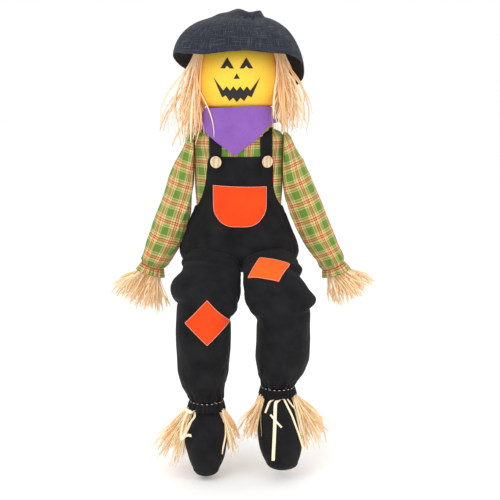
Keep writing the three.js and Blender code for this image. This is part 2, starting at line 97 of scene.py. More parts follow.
def cad_tree(node):
    mesh = frame["nodes"][node].data
    corners = [v.co.copy() for v in mesh.vertices]
    return BVHTree.FromPolygons(corners, [tuple(p.vertices) for p in mesh.polygons])


def reach(tree, origin, direction, far=0.6):
    """The distance from origin to the outermost surface in a direction."""
    direction = Vector(direction).normalized()
    hit = tree.ray_cast(Vector(origin) + direction * far, -direction, far)
    return far - hit[3] if hit[0] else 0.0


def unit(v):
    v = np.asarray(v, float)
    return v / np.maximum(np.linalg.norm(v, axis=-1, keepdims=True), 1e-9)


def between(rows, place):
    """The values of a table at places between its rows. A row starts with its place."""
    table = np.array(rows, float)
    return [np.interp(place, table[:, 0], column) for column in table[:, 1:].T]


def softened(values, times):
    values = np.array(values, float)
    for _ in range(times):
        values[1:-1] = (values[:-2] + 2 * values[1:-1] + values[2:]) / 4
    return values


def bumps(points, size, seed):
    """Smooth noise from -1 to 1 over an array of points, with lumps of about that size."""
    flat = np.reshape(points, (-1, 3)) / size + seed * 7.31
    values = [noise.noise(Vector(p)) for p in flat]
    return np.reshape(values, np.shape(points)[:-1])


def smoothstep(low, high, x):
    t = np.clip((x - low) / (high - low), 0, 1)
    return t * t * (3 - 2 * t)


def full_turn(columns):
    return TAU * np.arange(columns) / columns


def turned(wide, deep, z, turn):
    """Points [row, column] round the Z axis, from the front (-Y) towards +X."""
    return np.stack(np.broadcast_arrays(wide * np.sin(turn), -deep * np.cos(turn), z), axis=2)


def from_axis(points):
    """The level directions from the Z axis to points."""
    return unit(points * [1, 1, 0])


def round_line(angle, side, up):
    """Directions round a line whose cross section has these two axes."""
    return np.cos(angle)[..., None] * side + np.sin(angle)[..., None] * up


def lengths_along(line):
    """How far each point of a line is from its start."""
    return np.concatenate([[0], np.cumsum(np.linalg.norm(np.diff(line, axis=0), axis=1))])


def spread_over(neighbours, values):
    """The mean of each value of a ring and its neighbours on both sides."""
    ring = np.concatenate([values[-neighbours:], values, values[:neighbours]])
    return np.convolve(ring, np.ones(2 * neighbours + 1) / (2 * neighbours + 1), "valid")


# ---------- meshes ----------
def make_object(name, verts, faces, loop_uv=None):
    mesh = bpy.data.meshes.new(name)
    mesh.from_pydata(np.asarray(verts).tolist(), [], faces)
    if loop_uv is not None:
        layer = mesh.uv_layers.new(name="UVMap")
        layer.data.foreach_set("uv", np.asarray(loop_uv, np.float32).ravel())
    mesh.polygons.foreach_set("use_smooth", [True] * len(mesh.polygons))
    obj = bpy.data.objects.new(name, mesh)
    bpy.context.scene.collection.objects.link(obj)
    return obj


def grid_object(name, points, uv, wrap=False, cap_start=False, cap_end=False):
    """A sheet or tube from points [row, column]. uv has one more column than points where the tube closes."""
    rows, columns = points.shape[:2]
    verts = points.reshape(-1, 3)
    faces, loop_uv = [], []
    for i in range(rows - 1):
        for j in range(columns if wrap else columns - 1):
            k = (j + 1) % columns
            faces.append((i * columns + j, i * columns + k, (i + 1) * columns + k, (i + 1) * columns + j))
            loop_uv += [uv[i, j], uv[i, j + 1], uv[i + 1, j + 1], uv[i + 1, j]]
    for wanted, row, order in ((cap_start, 0, -1), (cap_end, rows - 1, 1)):
        if not wanted:
            continue
        centre = len(verts)
        verts = np.vstack([verts, points[row].mean(axis=0)])
        for j in range(columns):
            ends = [row * columns + j, row * columns + (j + 1) % columns]
            corners = [uv[row, j], uv[row, j + 1]]
            faces.append((*ends[::order], centre))
            loop_uv += [*corners[::order], (uv[row, j] + uv[row, j + 1]) / 2]
    return make_object(name, verts, faces, loop_uv)


def turn_outwards(obj):
    """Makes a closed mesh's faces point out."""
    work = bmesh.new()
    work.from_mesh(obj.data)
    bmesh.ops.recalc_face_normals(work, faces=work.faces)
    work.to_mesh(obj.data)
    work.free()
    return obj


def coordinates(obj):
    co = np.zeros(len(obj.data.vertices) * 3, np.float32)
    obj.data.vertices.foreach_get("co", co)
    return co.reshape(-1, 3).astype(float)


def set_coordinates(obj, co):
    obj.data.vertices.foreach_set("co", np.asarray(co, np.float32).ravel())
    obj.data.update()


def apply_modifiers(obj):
    depsgraph = bpy.context.evaluated_depsgraph_get()
    mesh = bpy.data.meshes.new_from_object(obj.evaluated_get(depsgraph))
    obj.modifiers.clear()
    obj.data = mesh
    return obj


def thicken(obj, thickness, offset=1.0, rounded=0):
    modifier = obj.modifiers.new("thickness", "SOLIDIFY")
    modifier.thickness = thickness
    modifier.offset = offset
    modifier.use_even_offset = False
    if rounded:
        modifier = obj.modifiers.new("rounded", "SUBSURF")
        modifier.levels = modifier.render_levels = rounded
    return apply_modifiers(obj)


def subdivide(obj, levels=1):
    modifier = obj.modifiers.new("smooth", "SUBSURF")
    modifier.levels = modifier.render_levels = levels
    return apply_modifiers(obj)


def mesh_tree(obj):
    return BVHTree.FromPolygons([v.co.copy() for v in obj.data.vertices],
                                [tuple(p.vertices) for p in obj.data.polygons])


def simulate(obj, held, cap, pressure=4.0, growth=0.05, frames=18, stiffness=8.0):
    """Fills a cloth cover that is cut a little large and held at its gathers. No point moves past cap."""
    scene = bpy.context.scene
    before = coordinates(obj)
    group = obj.vertex_groups.new(name="held")
    group.add([int(i) for i in np.flatnonzero(held)], 1.0, "REPLACE")
    modifier = obj.modifiers.new("cloth", "CLOTH")
    cloth = modifier.settings
    cloth.vertex_group_mass = "held"
    cloth.quality = 6
    cloth.mass = 0.2
    cloth.tension_stiffness = cloth.compression_stiffness = stiffness
    cloth.shear_stiffness = stiffness / 2
    cloth.bending_stiffness = 0.05
    cloth.use_pressure = True
    cloth.uniform_pressure_force = pressure
    cloth.shrink_min = -growth
    cloth.effector_weights.gravity = 0
    modifier.point_cache.frame_start = scene.frame_start = 1
    modifier.point_cache.frame_end = scene.frame_end = frames
    for step in range(1, frames + 1):
        scene.frame_set(step)
    evaluated = obj.evaluated_get(bpy.context.evaluated_depsgraph_get())
    after = coordinates(evaluated)
    obj.modifiers.clear()
    obj.vertex_groups.clear()
    scene.frame_set(1)
    moved = np.nan_to_num(after - before)
    length = np.linalg.norm(moved, axis=1)
    limit = np.broadcast_to(cap, length.shape)
    share = limit * np.tanh(length / np.maximum(limit, 1e-9)) / np.maximum(length, 1e-9)
    set_coordinates(obj, before + moved * share[:, None])
    return obj


# ---------- materials ----------
def grey(value):
    return (value, value, value)


class Recipe:
    """A procedural material that is built node by node."""

    def __init__(self, name, **sockets):
        self.material = bpy.data.materials.new(name)
        self.material.use_nodes = True
        self.tree = self.material.node_tree
        self.shader = self.tree.nodes["Principled BSDF"]
        for socket, value in sockets.items():
            self.shader.inputs[socket.replace("_", " ")].default_value = value

    def node(self, kind, inputs=(), **properties):
        made = self.tree.nodes.new(kind)
        for key, value in properties.items():
            setattr(made, key, value)
        for key, value in dict(inputs).items():
            if isinstance(value, bpy.types.NodeSocket):
                self.tree.links.new(value, made.inputs[key])
            else:
                made.inputs[key].default_value = value
        return made

    def math(self, operation, a, b=0.0):
        return self.node("ShaderNodeMath", {0: a, 1: b}, operation=operation).outputs[0]

    def uv(self):
        return self.node("ShaderNodeUVMap", uv_map="UVMap").outputs[0]

    def place(self):
        return self.node("ShaderNodeTexCoord").outputs["Object"]

    def stretched(self, vector, scale):
        return self.node("ShaderNodeMapping", {"Vector": vector, "Scale": scale}).outputs[0]

    def noise(self, vector, scale, detail=3.0, roughness=0.55):
        inputs = {"Vector": vector, "Scale": scale, "Detail": detail, "Roughness": roughness}
        return self.node("ShaderNodeTexNoise", inputs).outputs["Fac"]

    def ramp(self, factor, stops, interpolation="LINEAR"):
        made = self.node("ShaderNodeValToRGB", {"Fac": factor})
        ramp = made.color_ramp
        ramp.interpolation = interpolation
        while len(ramp.elements) < len(stops):
            ramp.elements.new(0.5)
        for element, (place, colour) in zip(ramp.elements, stops):
            element.position = place
            element.color = (*colour, 1.0)
        return made.outputs["Color"]

    def mix(self, factor, a, b, blend="MIX"):
        made = self.node("ShaderNodeMix", data_type="RGBA", blend_type=blend)
        for key, value in ((0, factor), (6, a), (7, b)):
            if isinstance(value, bpy.types.NodeSocket):
                self.tree.links.new(value, made.inputs[key])
            else:
                made.inputs[key].default_value = value if key == 0 else (*value, 1.0)
        return made.outputs[2]

    def weave(self, uv, thread):
        """The height of a plain weave, from threads of that width."""
        split = self.node("ShaderNodeSeparateXYZ", {0: uv})
        across = self.math("SINE", self.math("MULTIPLY", split.outputs[0], math.pi / thread))
        along = self.math("SINE", self.math("MULTIPLY", split.outputs[1], math.pi / thread))
        return self.math("MULTIPLY", across, along)

    def finish(self, colour=None, roughness=None, heights=()):
        """heights are (height socket, depth in metres) pairs of bumps, laid on top of each other."""
        normal = None
        for height, depth in heights:
            inputs = {"Height": height, "Distance": depth, "Strength": 1.0}
            if normal is not None:
                inputs["Normal"] = normal
            normal = self.node("ShaderNodeBump", inputs).outputs[0]
        for socket, value in (("Base Color", colour), ("Roughness", roughness), ("Normal", normal)):
            if value is not None:
                self.tree.links.new(value, self.shader.inputs[socket])
        return self.material


def black_cloth(name, lift=1.0):
    r = Recipe(name, Sheen_Weight=0.03, Sheen_Roughness=0.5, Specular_IOR_Level=0.14)
    uv, place = r.uv(), r.place()
    worn = r.noise(place, 22, 5)
    dark, pale = ([lift * v for v in tone] for tone in ((0.0045, 0.0045, 0.0055), (0.0125, 0.012, 0.0135)))
    tone = r.ramp(worn, [(0.3, dark), (0.75, pale)])
    lint = r.ramp(r.noise(place, 900, 1), [(0.68, (0, 0, 0)), (0.8, (0.02, 0.02, 0.022))])
    colour = r.mix(0.5, tone, lint, "ADD")
    roughness = r.ramp(worn, [(0.3, grey(0.82)), (0.7, grey(0.68))])
    return r.finish(colour, roughness, [(r.noise(place, 60, 4), 1.2 * MM),
                                        (r.weave(uv, 1.3 * MM), 0.22 * MM)])


def plaid_cloth():
    """A check of red, cream, olive and green stripes, the same along and across."""
    red, peach, cream = (0.42, 0.018, 0.006), (0.84, 0.31, 0.11), (0.78, 0.60, 0.27)
    olive, green = (0.34, 0.33, 0.07), (0.12, 0.25, 0.022)
    stripes = [(2.5, red), (3.5, peach), (2.5, red), (5, cream), (3.5, olive), (2.5, cream), (21, green),
               (2.5, cream), (3.5, olive), (4.5, cream)]
    total = sum(width for width, _ in stripes)
    stops, place = [], 0.0
    for width, colour in stripes:
        stops.append((place / total, colour))
        place += width
    r = Recipe("plaid_cotton", Sheen_Weight=0.04, Sheen_Roughness=0.4, Specular_IOR_Level=0.2)
    uv = r.uv()
    split = r.node("ShaderNodeSeparateXYZ", {0: uv})
    threads, reds = [], []
    marks = [(place, (1, 1, 1) if colour == red else (0, 0, 0)) for place, colour in stops]
    for axis in (0, 1):
        share = r.math("FRACT", r.math("MULTIPLY", split.outputs[axis], 1 / PLAID_REPEAT))
        threads.append(r.ramp(share, stops, "CONSTANT"))
        reds.append(r.ramp(share, marks, "CONSTANT"))
    over = r.math("ADD", r.math("MULTIPLY", r.weave(uv, 0.9 * MM), 0.22), 0.5)
    woven = r.mix(over, *threads)
    lines = r.math("MULTIPLY", r.math("MAXIMUM", *reds), 0.5)
    woven = r.mix(lines, woven, (0.5, 0.02, 0.006))
    faded = r.mix(r.math("MULTIPLY", r.noise(r.place(), 14, 4), 0.08), woven, (0.9, 0.8, 0.6))
    return r.finish(faded, r.ramp(r.noise(uv, 300), [(0, grey(0.74)), (1, grey(0.92))]),
                    [(r.noise(r.place(), 45, 3), 1.0 * MM), (r.weave(uv, 1.2 * MM), 0.25 * MM)])


def felt(name, low, high):
    r = Recipe(name, Sheen_Weight=0.06, Sheen_Roughness=0.6, Specular_IOR_Level=0.15)
    place = r.place()
    fibres = r.noise(r.stretched(place, (1, 1, 2.2)), 320, 5, 0.7)
    cloudy = r.noise(place, 18, 4)
    colour = r.ramp(r.math("ADD", r.math("MULTIPLY", fibres, 0.55), r.math("MULTIPLY", cloudy, 0.45)),
                    [(0.3, low), (0.7, high)])
    return r.finish(colour, r.ramp(fibres, [(0.2, (1, 1, 1)), (0.8, grey(0.86))]),
                    [(cloudy, 1.0 * MM), (fibres, 0.5 * MM)])


def hat_cloth():
    """Charcoal cloth with the lighter slubs of uneven yarn both ways."""
    r = Recipe("hat_cloth", Sheen_Weight=0.05, Sheen_Roughness=0.45, Specular_IOR_Level=0.2)
    uv = r.uv()
    across = r.noise(r.stretched(uv, (22, 520, 1)), 1.0, 2)
    along = r.noise(r.stretched(uv, (520, 22, 1)), 1.0, 2)
    slubs = r.math("MAXIMUM", across, along)
    colour = r.ramp(slubs, [(0.45, (0.018, 0.021, 0.03)), (0.6, (0.037, 0.042, 0.058)),
                            (0.74, (0.13, 0.14, 0.17))])
    worn = r.ramp(r.noise(r.place(), 12, 4), [(0.35, (0.55, 0.55, 0.6)), (0.7, (1.0, 1.0, 1.0))])
    return r.finish(r.mix(0.6, colour, worn, "MULTIPLY"),
                    r.ramp(slubs, [(0.4, grey(0.9)), (0.8, grey(0.72))]),
                    [(slubs, 0.7 * MM), (r.weave(uv, 1.1 * MM), 0.25 * MM)])


def yellow_cloth():
    """Bright yellow brushed cloth, with painted shade: it deepens to orange towards the sides and the chin.
    """
    r = Recipe("yellow_cloth", Sheen_Weight=0.05, Sheen_Roughness=0.5, Specular_IOR_Level=0.3)
    place = r.place()
    split = r.node("ShaderNodeSeparateXYZ", {0: place})
    low, high = box("head_cover")
    # Painted shade: side and rise darken the yellow to orange towards the sides and under the chin, where
    # light falls off on the head.
    side = r.math("POWER", r.math("ABSOLUTE", r.math("MULTIPLY", split.outputs[0], 1 / high[0])), 3.0)
    rise = r.math("MULTIPLY", r.math("SUBTRACT", low[2] + 0.09, split.outputs[2]), 5.0)
    deep = r.math("ADD", side, r.math("MAXIMUM", rise, 0.0))
    colour = r.ramp(deep, [(0.0, (0.96, 0.62, 0.035)), (0.4, (0.96, 0.52, 0.016)),
                           (1.0, (0.90, 0.31, 0.003))])
    nap = r.noise(place, 420, 4)
    return r.finish(r.mix(0.12, colour, r.ramp(nap, [(0.35, (0.6, 0.35, 0.02)), (0.65, (1, 0.9, 0.4))]),
                          "MIX"),
                    r.ramp(nap, [(0.3, grey(0.85)), (0.7, grey(0.62))]),
                    [(r.noise(place, 30, 3), 0.8 * MM), (nap, 0.2 * MM)])


def print_cloth():
    r = Recipe("face_print", Sheen_Weight=0.1)
    grain = r.noise(r.place(), 700, 3)
    colour = r.ramp(grain, [(0.3, (0.007, 0.006, 0.005)), (0.75, (0.022, 0.019, 0.015))])
    return r.finish(colour, r.ramp(grain, [(0.2, grey(0.7)), (0.8, grey(0.9))]), [(grain, 0.2 * MM)])


def raffia_fibre(name, tones):
    """Each strand takes its own tone from the whole part of u, and has fine fibres along it. A faint painted
    glow stands in for light shining through the raffia.
    """
    # Emission Color and Emission Strength are a painted glow, standing in for light that passes through the
    # thin strands.
    r = Recipe(name, Specular_IOR_Level=0.35, Sheen_Weight=0.3, Sheen_Roughness=0.3,
               Emission_Color=(1.0, 0.62, 0.31, 1), Emission_Strength=0.14)
    split = r.node("ShaderNodeSeparateXYZ", {0: r.uv()})
    strand = r.math("FLOOR", split.outputs[0])
    chance = r.node("ShaderNodeTexWhiteNoise", {"W": strand}, noise_dimensions="1D").outputs["Value"]
    base = r.ramp(chance, [(i / (len(tones) - 1), tone) for i, tone in enumerate(tones)])
    fibres = r.noise(r.stretched(r.uv(), (9, 55, 1)), 1.0, 4)
    shade = r.ramp(fibres, [(0.3, (0.95, 0.86, 0.76)), (0.6, (1, 1, 1))])
    return r.finish(r.mix(0.75, base, shade, "MULTIPLY"),
                    r.ramp(fibres, [(0.3, grey(0.68)), (0.7, grey(0.45))]),
                    [(fibres, 0.5 * MM)])


def button_wood():
    r = Recipe("button_wood", Coat_Weight=0.1, Coat_Roughness=0.35)
    place = r.stretched(r.place(), (1, 1, 0.18))
    rings = r.node("ShaderNodeTexWave", {"Vector": place, "Scale": 30.0, "Distortion": 9.0,
                                         "Detail": 4.0}).outputs["Fac"]
    pores = r.noise(place, 900, 2)
    tone = r.ramp(rings, [(0.1, (0.66, 0.47, 0.28)), (0.9, (0.84, 0.67, 0.46))])
    colour = r.mix(0.35, tone, r.ramp(pores, [(0.4, (0.5, 0.4, 0.3)), (0.6, (1, 1, 1))]), "MULTIPLY")
    return r.finish(colour, r.ramp(rings, [(0, grey(0.5)), (1, grey(0.62))]), [(pores, 0.15 * MM)])


def thread(name, low, high):
    r = Recipe(name, Sheen_Weight=0.2)
    twist = r.noise(r.place(), 1500, 2)
    return r.finish(r.ramp(twist, [(0.3, low), (0.7, high)]),
                    r.ramp(twist, [(0, grey(0.6)), (1, grey(0.85))]),
                    [(twist, 0.2 * MM)])


PAINT = {
    "black_twill": black_cloth("black_twill"),
    "boot_cloth": black_cloth("boot_cloth", 1.15),
    "plaid_cotton": plaid_cloth(),
    "orange_felt": felt("orange_felt", (0.72, 0.04, 0.005), (0.92, 0.085, 0.009)),
    "patch_felt": felt("patch_felt", (0.84, 0.085, 0.006), (0.98, 0.16, 0.012)),
    "purple_felt": felt("purple_felt", (0.18, 0.07, 0.33), (0.31, 0.135, 0.50)),
    "hat_cloth": hat_cloth(),
    "yellow_cloth": yellow_cloth(),
    "face_print": print_cloth(),
    "hair_raffia": raffia_fibre("hair_raffia",
                                [(1.0, 0.50, 0.17), (1.0, 0.72, 0.40), (1.0, 0.90, 0.68), (1.0, 0.62, 0.28)]),
    "straw_raffia": raffia_fibre("straw_raffia", [(1.0, 0.64, 0.31), (1.0, 0.76, 0.45), (1.0, 0.90, 0.66),
                                                  (1.0, 0.60, 0.27)]),
    "tie_raffia": raffia_fibre("tie_raffia", [(0.95, 0.82, 0.58), (0.98, 0.88, 0.68)]),
    "button_wood": button_wood(),
    "white_thread": thread("white_thread", (0.62, 0.6, 0.55), (0.9, 0.88, 0.82)),
    "pale_thread": thread("pale_thread", (0.75, 0.4, 0.3), (0.92, 0.6, 0.5)),
    "black_thread": thread("black_thread", (0.012, 0.012, 0.014), (0.035, 0.035, 0.04)),
}


def dress(obj, paint):
    obj.data.materials.clear()
    obj.data.materials.append(PAINT[paint])
    return obj


def fit(obj, body, paint, *replaced, slot=None):
    """Paints a piece and lets it ride on a body, in place of the plain solids it stands for."""
    dress(obj, paint)
    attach(obj, body)
    if replaced:
        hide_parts(*replaced)


# ---------- stitches, patches and other small work ----------
def stitches(name, line, stitch, gap, radius, closed=False):
    """Short rounded threads along a line of points."""
    line = np.asarray(line, float)
    if closed:
        line = np.vstack([line, line[:1]])
    distance = lengths_along(line)
    count = max(1, int(distance[-1] / (stitch + gap)))
    at = lambda s: np.array([np.interp(s, distance, line[:, k]) for k in range(3)])
    verts, faces = [], []
    shape = [(0.0, 0.25), (0.25, 1.0), (0.75, 1.0), (1.0, 0.25)]
    for n in range(count):
        start = n * distance[-1] / count
        a, b = at(start), at(start + stitch)
        along = unit(b - a)
        side = unit(np.cross(along, (0.31, 0.27, 0.91)))
        up = np.cross(along, side)
        base = len(verts)
        for share, wide in shape:
            for k in range(6):
                angle = TAU * k / 6
                rim = math.cos(angle) * side + math.sin(angle) * up
                verts.append(a + (b - a) * share + radius * wide * rim)
        for i in range(len(shape) - 1):
            for k in range(6):
                m = (k + 1) % 6
                faces.append((base + i * 6 + k, base + i * 6 + m, base + (i + 1) * 6 + m,
                              base + (i + 1) * 6 + k))
        faces.append(tuple(base + k for k in range(5, -1, -1)))
        last = base + (len(shape) - 1) * 6
        faces.append(tuple(last + k for k in range(6)))
    return turn_outwards(make_object(name, verts, faces))


def edge_stitches(name, outline, margin, place, tree, direction, lift):
    """The row of stitches that runs a margin inside the edge of a shape laid on a surface."""
    starts = [place(x, z) for x, z in edge_line(inset(outline, margin), 4 * MM)]
    line = lie_on(tree, starts, direction, lift)
    return stitches(name, line, 4.6 * MM, 0.6 * MM, 0.65 * MM, closed=True)


def filled_outline(outline, spacing):
    """Points and triangles that fill a flat outline, fine enough to bend over a curved surface."""
    rim = edge_line(outline, spacing * 0.7)
    corners = np.array(outline, float)
    order = np.argsort([position_on(outline, p) for p in [*corners, *rim]], kind="stable")
    rim = np.vstack([corners, rim])[order]
    rim = rim[np.linalg.norm(rim - np.roll(rim, 1, axis=0), axis=1) > 0.1 * MM]
    low, high = rim.min(axis=0), rim.max(axis=0)
    across, up = (np.arange(low[k] + spacing / 2, high[k], spacing) for k in (0, 1))
    inner = [(x, z) for x in across for z in up]
    points = [Vector(p) for p in [*rim.tolist(), *inner]]
    verts, _, faces, *_ = delaunay_2d_cdt(points, [], [list(range(len(rim)))], 1, 1e-7)
    used = sorted({v for face in faces for v in face})
    renamed = {v: n for n, v in enumerate(used)}
    return np.array([verts[v] for v in used]), [tuple(renamed[v] for v in face) for face in faces]


def position_on(outline, point):
    """How far along a closed outline its nearest place to a point lies."""
    corners = np.array([*outline, outline[0]], float)
    best, travelled = (1e9, 0.0), 0.0
    for a, b in zip(corners[:-1], corners[1:]):
        length = np.linalg.norm(b - a)
        share = np.clip(np.dot(point - a, b - a) / length ** 2, 0, 1)
        away = np.linalg.norm(a + (b - a) * share - point)
        if away < best[0] - 1e-9:
            best = (away, travelled + share * length)
        travelled += length
    return best[1]


def lie_on(tree, starts, direction, lift):
    """Drops points along a direction onto a surface and lifts them off it along its normal."""
    laid = []
    for start in starts:
        place, normal, _, _ = tree.ray_cast(Vector(start), Vector(direction), 2.0)
        if place is None:
            place, normal, _, _ = tree.find_nearest(Vector(start))
        if normal.dot(Vector(direction)) > 0:
            normal = -normal
        laid.append(np.array(place + normal * lift))
    return np.array(laid)


def applique(name, outline, place, tree, direction, lift, thickness, spacing=5 * MM):
    """A flat shape cut from cloth and laid on a surface. place puts a flat point in front of that surface."""
    points, faces = filled_outline(outline, spacing)
    laid = lie_on(tree, [place(x, z) for x, z in points], direction, lift)
    obj = make_object(name, laid, faces, [points[i] for face in faces for i in face])
    if np.dot(np.mean([p.normal for p in obj.data.polygons], axis=0), direction) > 0:
        obj.data.flip_normals()
    return thicken(obj, thickness, offset=-1.0)


def edge_line(outline, step):
    """Points at equal steps round a closed flat outline."""
    line = np.array([*outline, outline[0]], float)
    distance = lengths_along(line)
    places = np.arange(0, distance[-1], step)
    return np.stack([np.interp(places, distance, line[:, k]) for k in (0, 1)], axis=1)


def inset(outline, amount):
    """Moves an outline's points towards its middle."""
    points = np.array(outline, float)
    centre = points.mean(axis=0)
    return centre + (points - centre) * (1 - amount / np.linalg.norm(points - centre, axis=1, keepdims=True))


# ---------- torso ----------
def outline_of(tree, low, pivot, heights, slopes):
    """Rows of height and half width of a turned form: level rays to the pivot, then rays that turn up."""
    rows = [(z, reach(tree, (0, 0, z), (1, 0, 0))) for z in np.linspace(low, pivot, heights)]
    for angle in np.linspace(0, math.pi / 2, slopes)[1:]:
        away = reach(tree, (0, 0, pivot), (math.cos(angle), 0, math.sin(angle)))
        rows.append((pivot + away * math.sin(angle), away * math.cos(angle)))
    return softened(rows, 2)


TORSO_LOW, TORSO_HIGH = box("torso_stuffing")
TORSO_DEPTH = (TORSO_HIGH[1] - TORSO_LOW[1]) / (TORSO_HIGH[0] - TORSO_LOW[0])
TORSO_OUTLINE = outline_of(cad_tree("torso_stuffing"), TORSO_LOW[2] + MM, 335 * MM, 26, 14)


def torso_rings(columns, rows, lift):
    """The torso's smooth skin from the seat to the neck, lifted by a distance."""
    share = np.linspace(0, 1, rows)
    place = np.linspace(0, 1, len(TORSO_OUTLINE))
    z = np.interp(share, place, TORSO_OUTLINE[:, 0])
    half = np.interp(share, place, TORSO_OUTLINE[:, 1])
    slope = np.arctan2(-np.gradient(half), np.gradient(z))
    across = half + lift * np.cos(slope)
    deep = TORSO_DEPTH * half + lift * np.cos(slope)
    up = z + lift * np.sin(slope)
    return turned(across[:, None], deep[:, None], up[:, None], full_turn(columns)), half


def cloth_uv(points, turns_wide=None):
    """Lengths across and along the cloth as a flat map. turns_wide is the width to give a closed tube."""
    columns = points.shape[1]
    steps = np.linalg.norm(np.diff(points, axis=0), axis=2).mean(axis=1)
    along = np.concatenate([[0], np.cumsum(steps)])
    width = turns_wide or np.linalg.norm(np.diff(points, axis=1), axis=2).sum(axis=1).mean()
    share = np.linspace(0, 1, columns + 1 if turns_wide else columns)
    return np.stack(np.broadcast_arrays(width * share[None, :], along[:, None]), axis=2)


SHIRT_SIDES = [  # height, then how far the loose cloth stands out beside the arms, in mm
    (150, 100), (172, 114), (215, 116), (250, 117), (290, 118), (335, 118), (358, 118), (372, 110), (380, 70),
]


def make_shirt():
    columns, rows = 120, 84
    points, half = torso_rings(columns, rows, 1.5 * MM)
    turn = full_turn(columns)
    z = points[..., 2]
    beside = smoothstep(0.80, 0.98, np.abs(np.sin(turn)))[None, :]
    loose = np.maximum(np.interp(z, *np.array(SHIRT_SIDES).T * MM) - half[:, None], 0)
    points[..., 0] += loose * beside * np.sign(np.sin(turn))
    shoulder = smoothstep(170 * MM, 240 * MM, z) * smoothstep(380 * MM, 340 * MM, z) * beside
    pleats = shoulder * np.cos(turn * 34)[None, :] * 2.2 * MM
    points = points + from_axis(points) * pleats[..., None]
    uv = cloth_uv(points, 16 * PLAID_REPEAT)
    uv[..., 0] += 0.44 * PLAID_REPEAT
    obj = grid_object("shirt", points, uv, wrap=True, cap_start=True, cap_end=True)
    x, _, z = coordinates(obj).T
    cap = np.where((z < 190 * MM) | (np.abs(x) > 96 * MM), 1 * MM, 4 * MM)
    simulate(obj, (z < 20 * MM) | (z > 393 * MM), cap, growth=0.045)
    subdivide(obj)
    fit(obj, "torso", "plaid_cotton", "torso_stuffing", "shirt_body")
    return obj


def make_collar():
    low, high = box("neck_stuffing")
    columns = 72
    z = np.linspace(low[2] - 8 * MM, high[2] + 14 * MM, 10)
    turn = full_turn(columns)
    radius = high[0] + 3 * MM + 1.6 * MM * np.cos(turn * 18)
    points = turned(radius, radius, z[:, None], turn)
    obj = grid_object("collar", points, cloth_uv(points, 4 * PLAID_REPEAT), wrap=True)
    thicken(obj, 1.6 * MM, rounded=1)
    dress(obj, "plaid_cotton")
    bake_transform(obj)
    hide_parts("neck_stuffing")


def make_collar_fold():
    """The part of the collar that lies folded down over the shoulders, under the neckerchief."""
    low, high = box("neckerchief")
    turn = full_turn(72)
    z = np.linspace(TORSO_HIGH[2] - 34 * MM, TORSO_HIGH[2] + 14 * MM, 9)[:, None]
    fold = 1.2 * MM * np.cos(turn * 26 + 2 * np.sin(3 * turn))
    wide = (high[0] - 13 * MM) - (z - z[0]) * 0.14 + fold
    deep = (-low[1] - 20 * MM) - (z - z[0]) * 0.05 + fold
    lip = z + 3 * MM * np.sin(turn * 5) * (z - z[0]) / (z[-1] - z[0])
    points = turned(wide, deep, lip, turn)
    folded = grid_object("collar_fold", points, cloth_uv(points, 12 * PLAID_REPEAT), wrap=True)
    thicken(folded, 2.2 * MM, rounded=1)
    fit(folded, "torso", "plaid_cotton")


BIB_LOW, BIB_HIGH = box("overalls_bib")
POCKET_LOW, POCKET_HIGH = box("bib_pocket")
BIB_TOP_HALF = 84 * MM
STRAP_SHIFT = {"left": 4 * MM, "right": 8 * MM}  # the bib hangs a little askew
BUTTON_SHIFT = {"left": 13 * MM, "right": 3 * MM}


def make_overalls():
    """One shell from the seat to the top of the bib. Its edge is level behind and climbs the bib's sides."""
    columns, rows = 200, 72
    base, _ = torso_rings(columns, 240, 6.2 * MM)
    turn = full_turn(columns)
    signed = np.where(turn > math.pi, turn - TAU, turn)
    waist, top = BIB_LOW[2], BIB_HIGH[2]
    edge_low = BIB_HIGH[0]
    edge_high = BIB_TOP_HALF + np.where(signed > 0, STRAP_SHIFT["right"], -STRAP_SHIFT["left"])
    x_low, x_high = (np.abs([np.interp(height, base[:, 0, 2], base[:, j, 0]) for j in range(columns)])
                     for height in (waist, top))
    front = np.abs(signed) < math.pi / 2
    climb = np.clip((edge_low + 8 * MM - x_low) / (edge_low + 8 * MM - edge_high), 0, 1)
    climb = np.where(front, np.maximum(climb, (x_high < edge_high) * 1.0), 0)
    reached = np.where(front & (x_high < edge_high), top,
                       waist + (top - waist) * smoothstep(0, 1, climb) * 0.98)
    reached = spread_over(2, reached)
    points = np.zeros((rows, columns, 3))
    share = np.linspace(0, 1, rows) ** 0.85
    for j in range(columns):
        heights = base[0, j, 2] + (reached[j] - base[0, j, 2]) * share
        for k in range(3):
            points[:, j, k] = np.interp(heights, base[:, j, 2], base[:, j, k])
    z = points[..., 2]
    lap = np.exp(-((z - 62 * MM) / (30 * MM)) ** 2) * np.maximum(np.cos(turn), 0)[None, :]
    folds = lap * np.sin(z / (7 * MM) + 2.0 * np.sin(3 * turn)[None, :]) * 2.0 * MM
    soft = bumps(points, 60 * MM, 3) * 3.0 * MM * smoothstep(250 * MM, 100 * MM, z)
    beside = np.exp(-((np.abs(signed) - 1.75) / 0.3) ** 2)
    side = beside * np.exp(-((z - waist) / (30 * MM)) ** 2) * 2 * MM
    points = points + from_axis(points) * (folds + soft + side)[..., None]
    obj = grid_object("overalls", points, cloth_uv(points, 2 * 0.41), wrap=True, cap_start=True)
    x, y, z = coordinates(obj).T
    cap = np.where(np.abs(y) < 0.35 * np.abs(x), 1.5 * MM, 5 * MM)
    simulate(obj, (z < 12 * MM) | (z > 150 * MM), cap, growth=0.05, frames=16)
    thicken(obj, 2.2 * MM, rounded=1)
    fit(obj, "torso", "black_twill", "overalls_seat", "overalls_bib")
    return obj


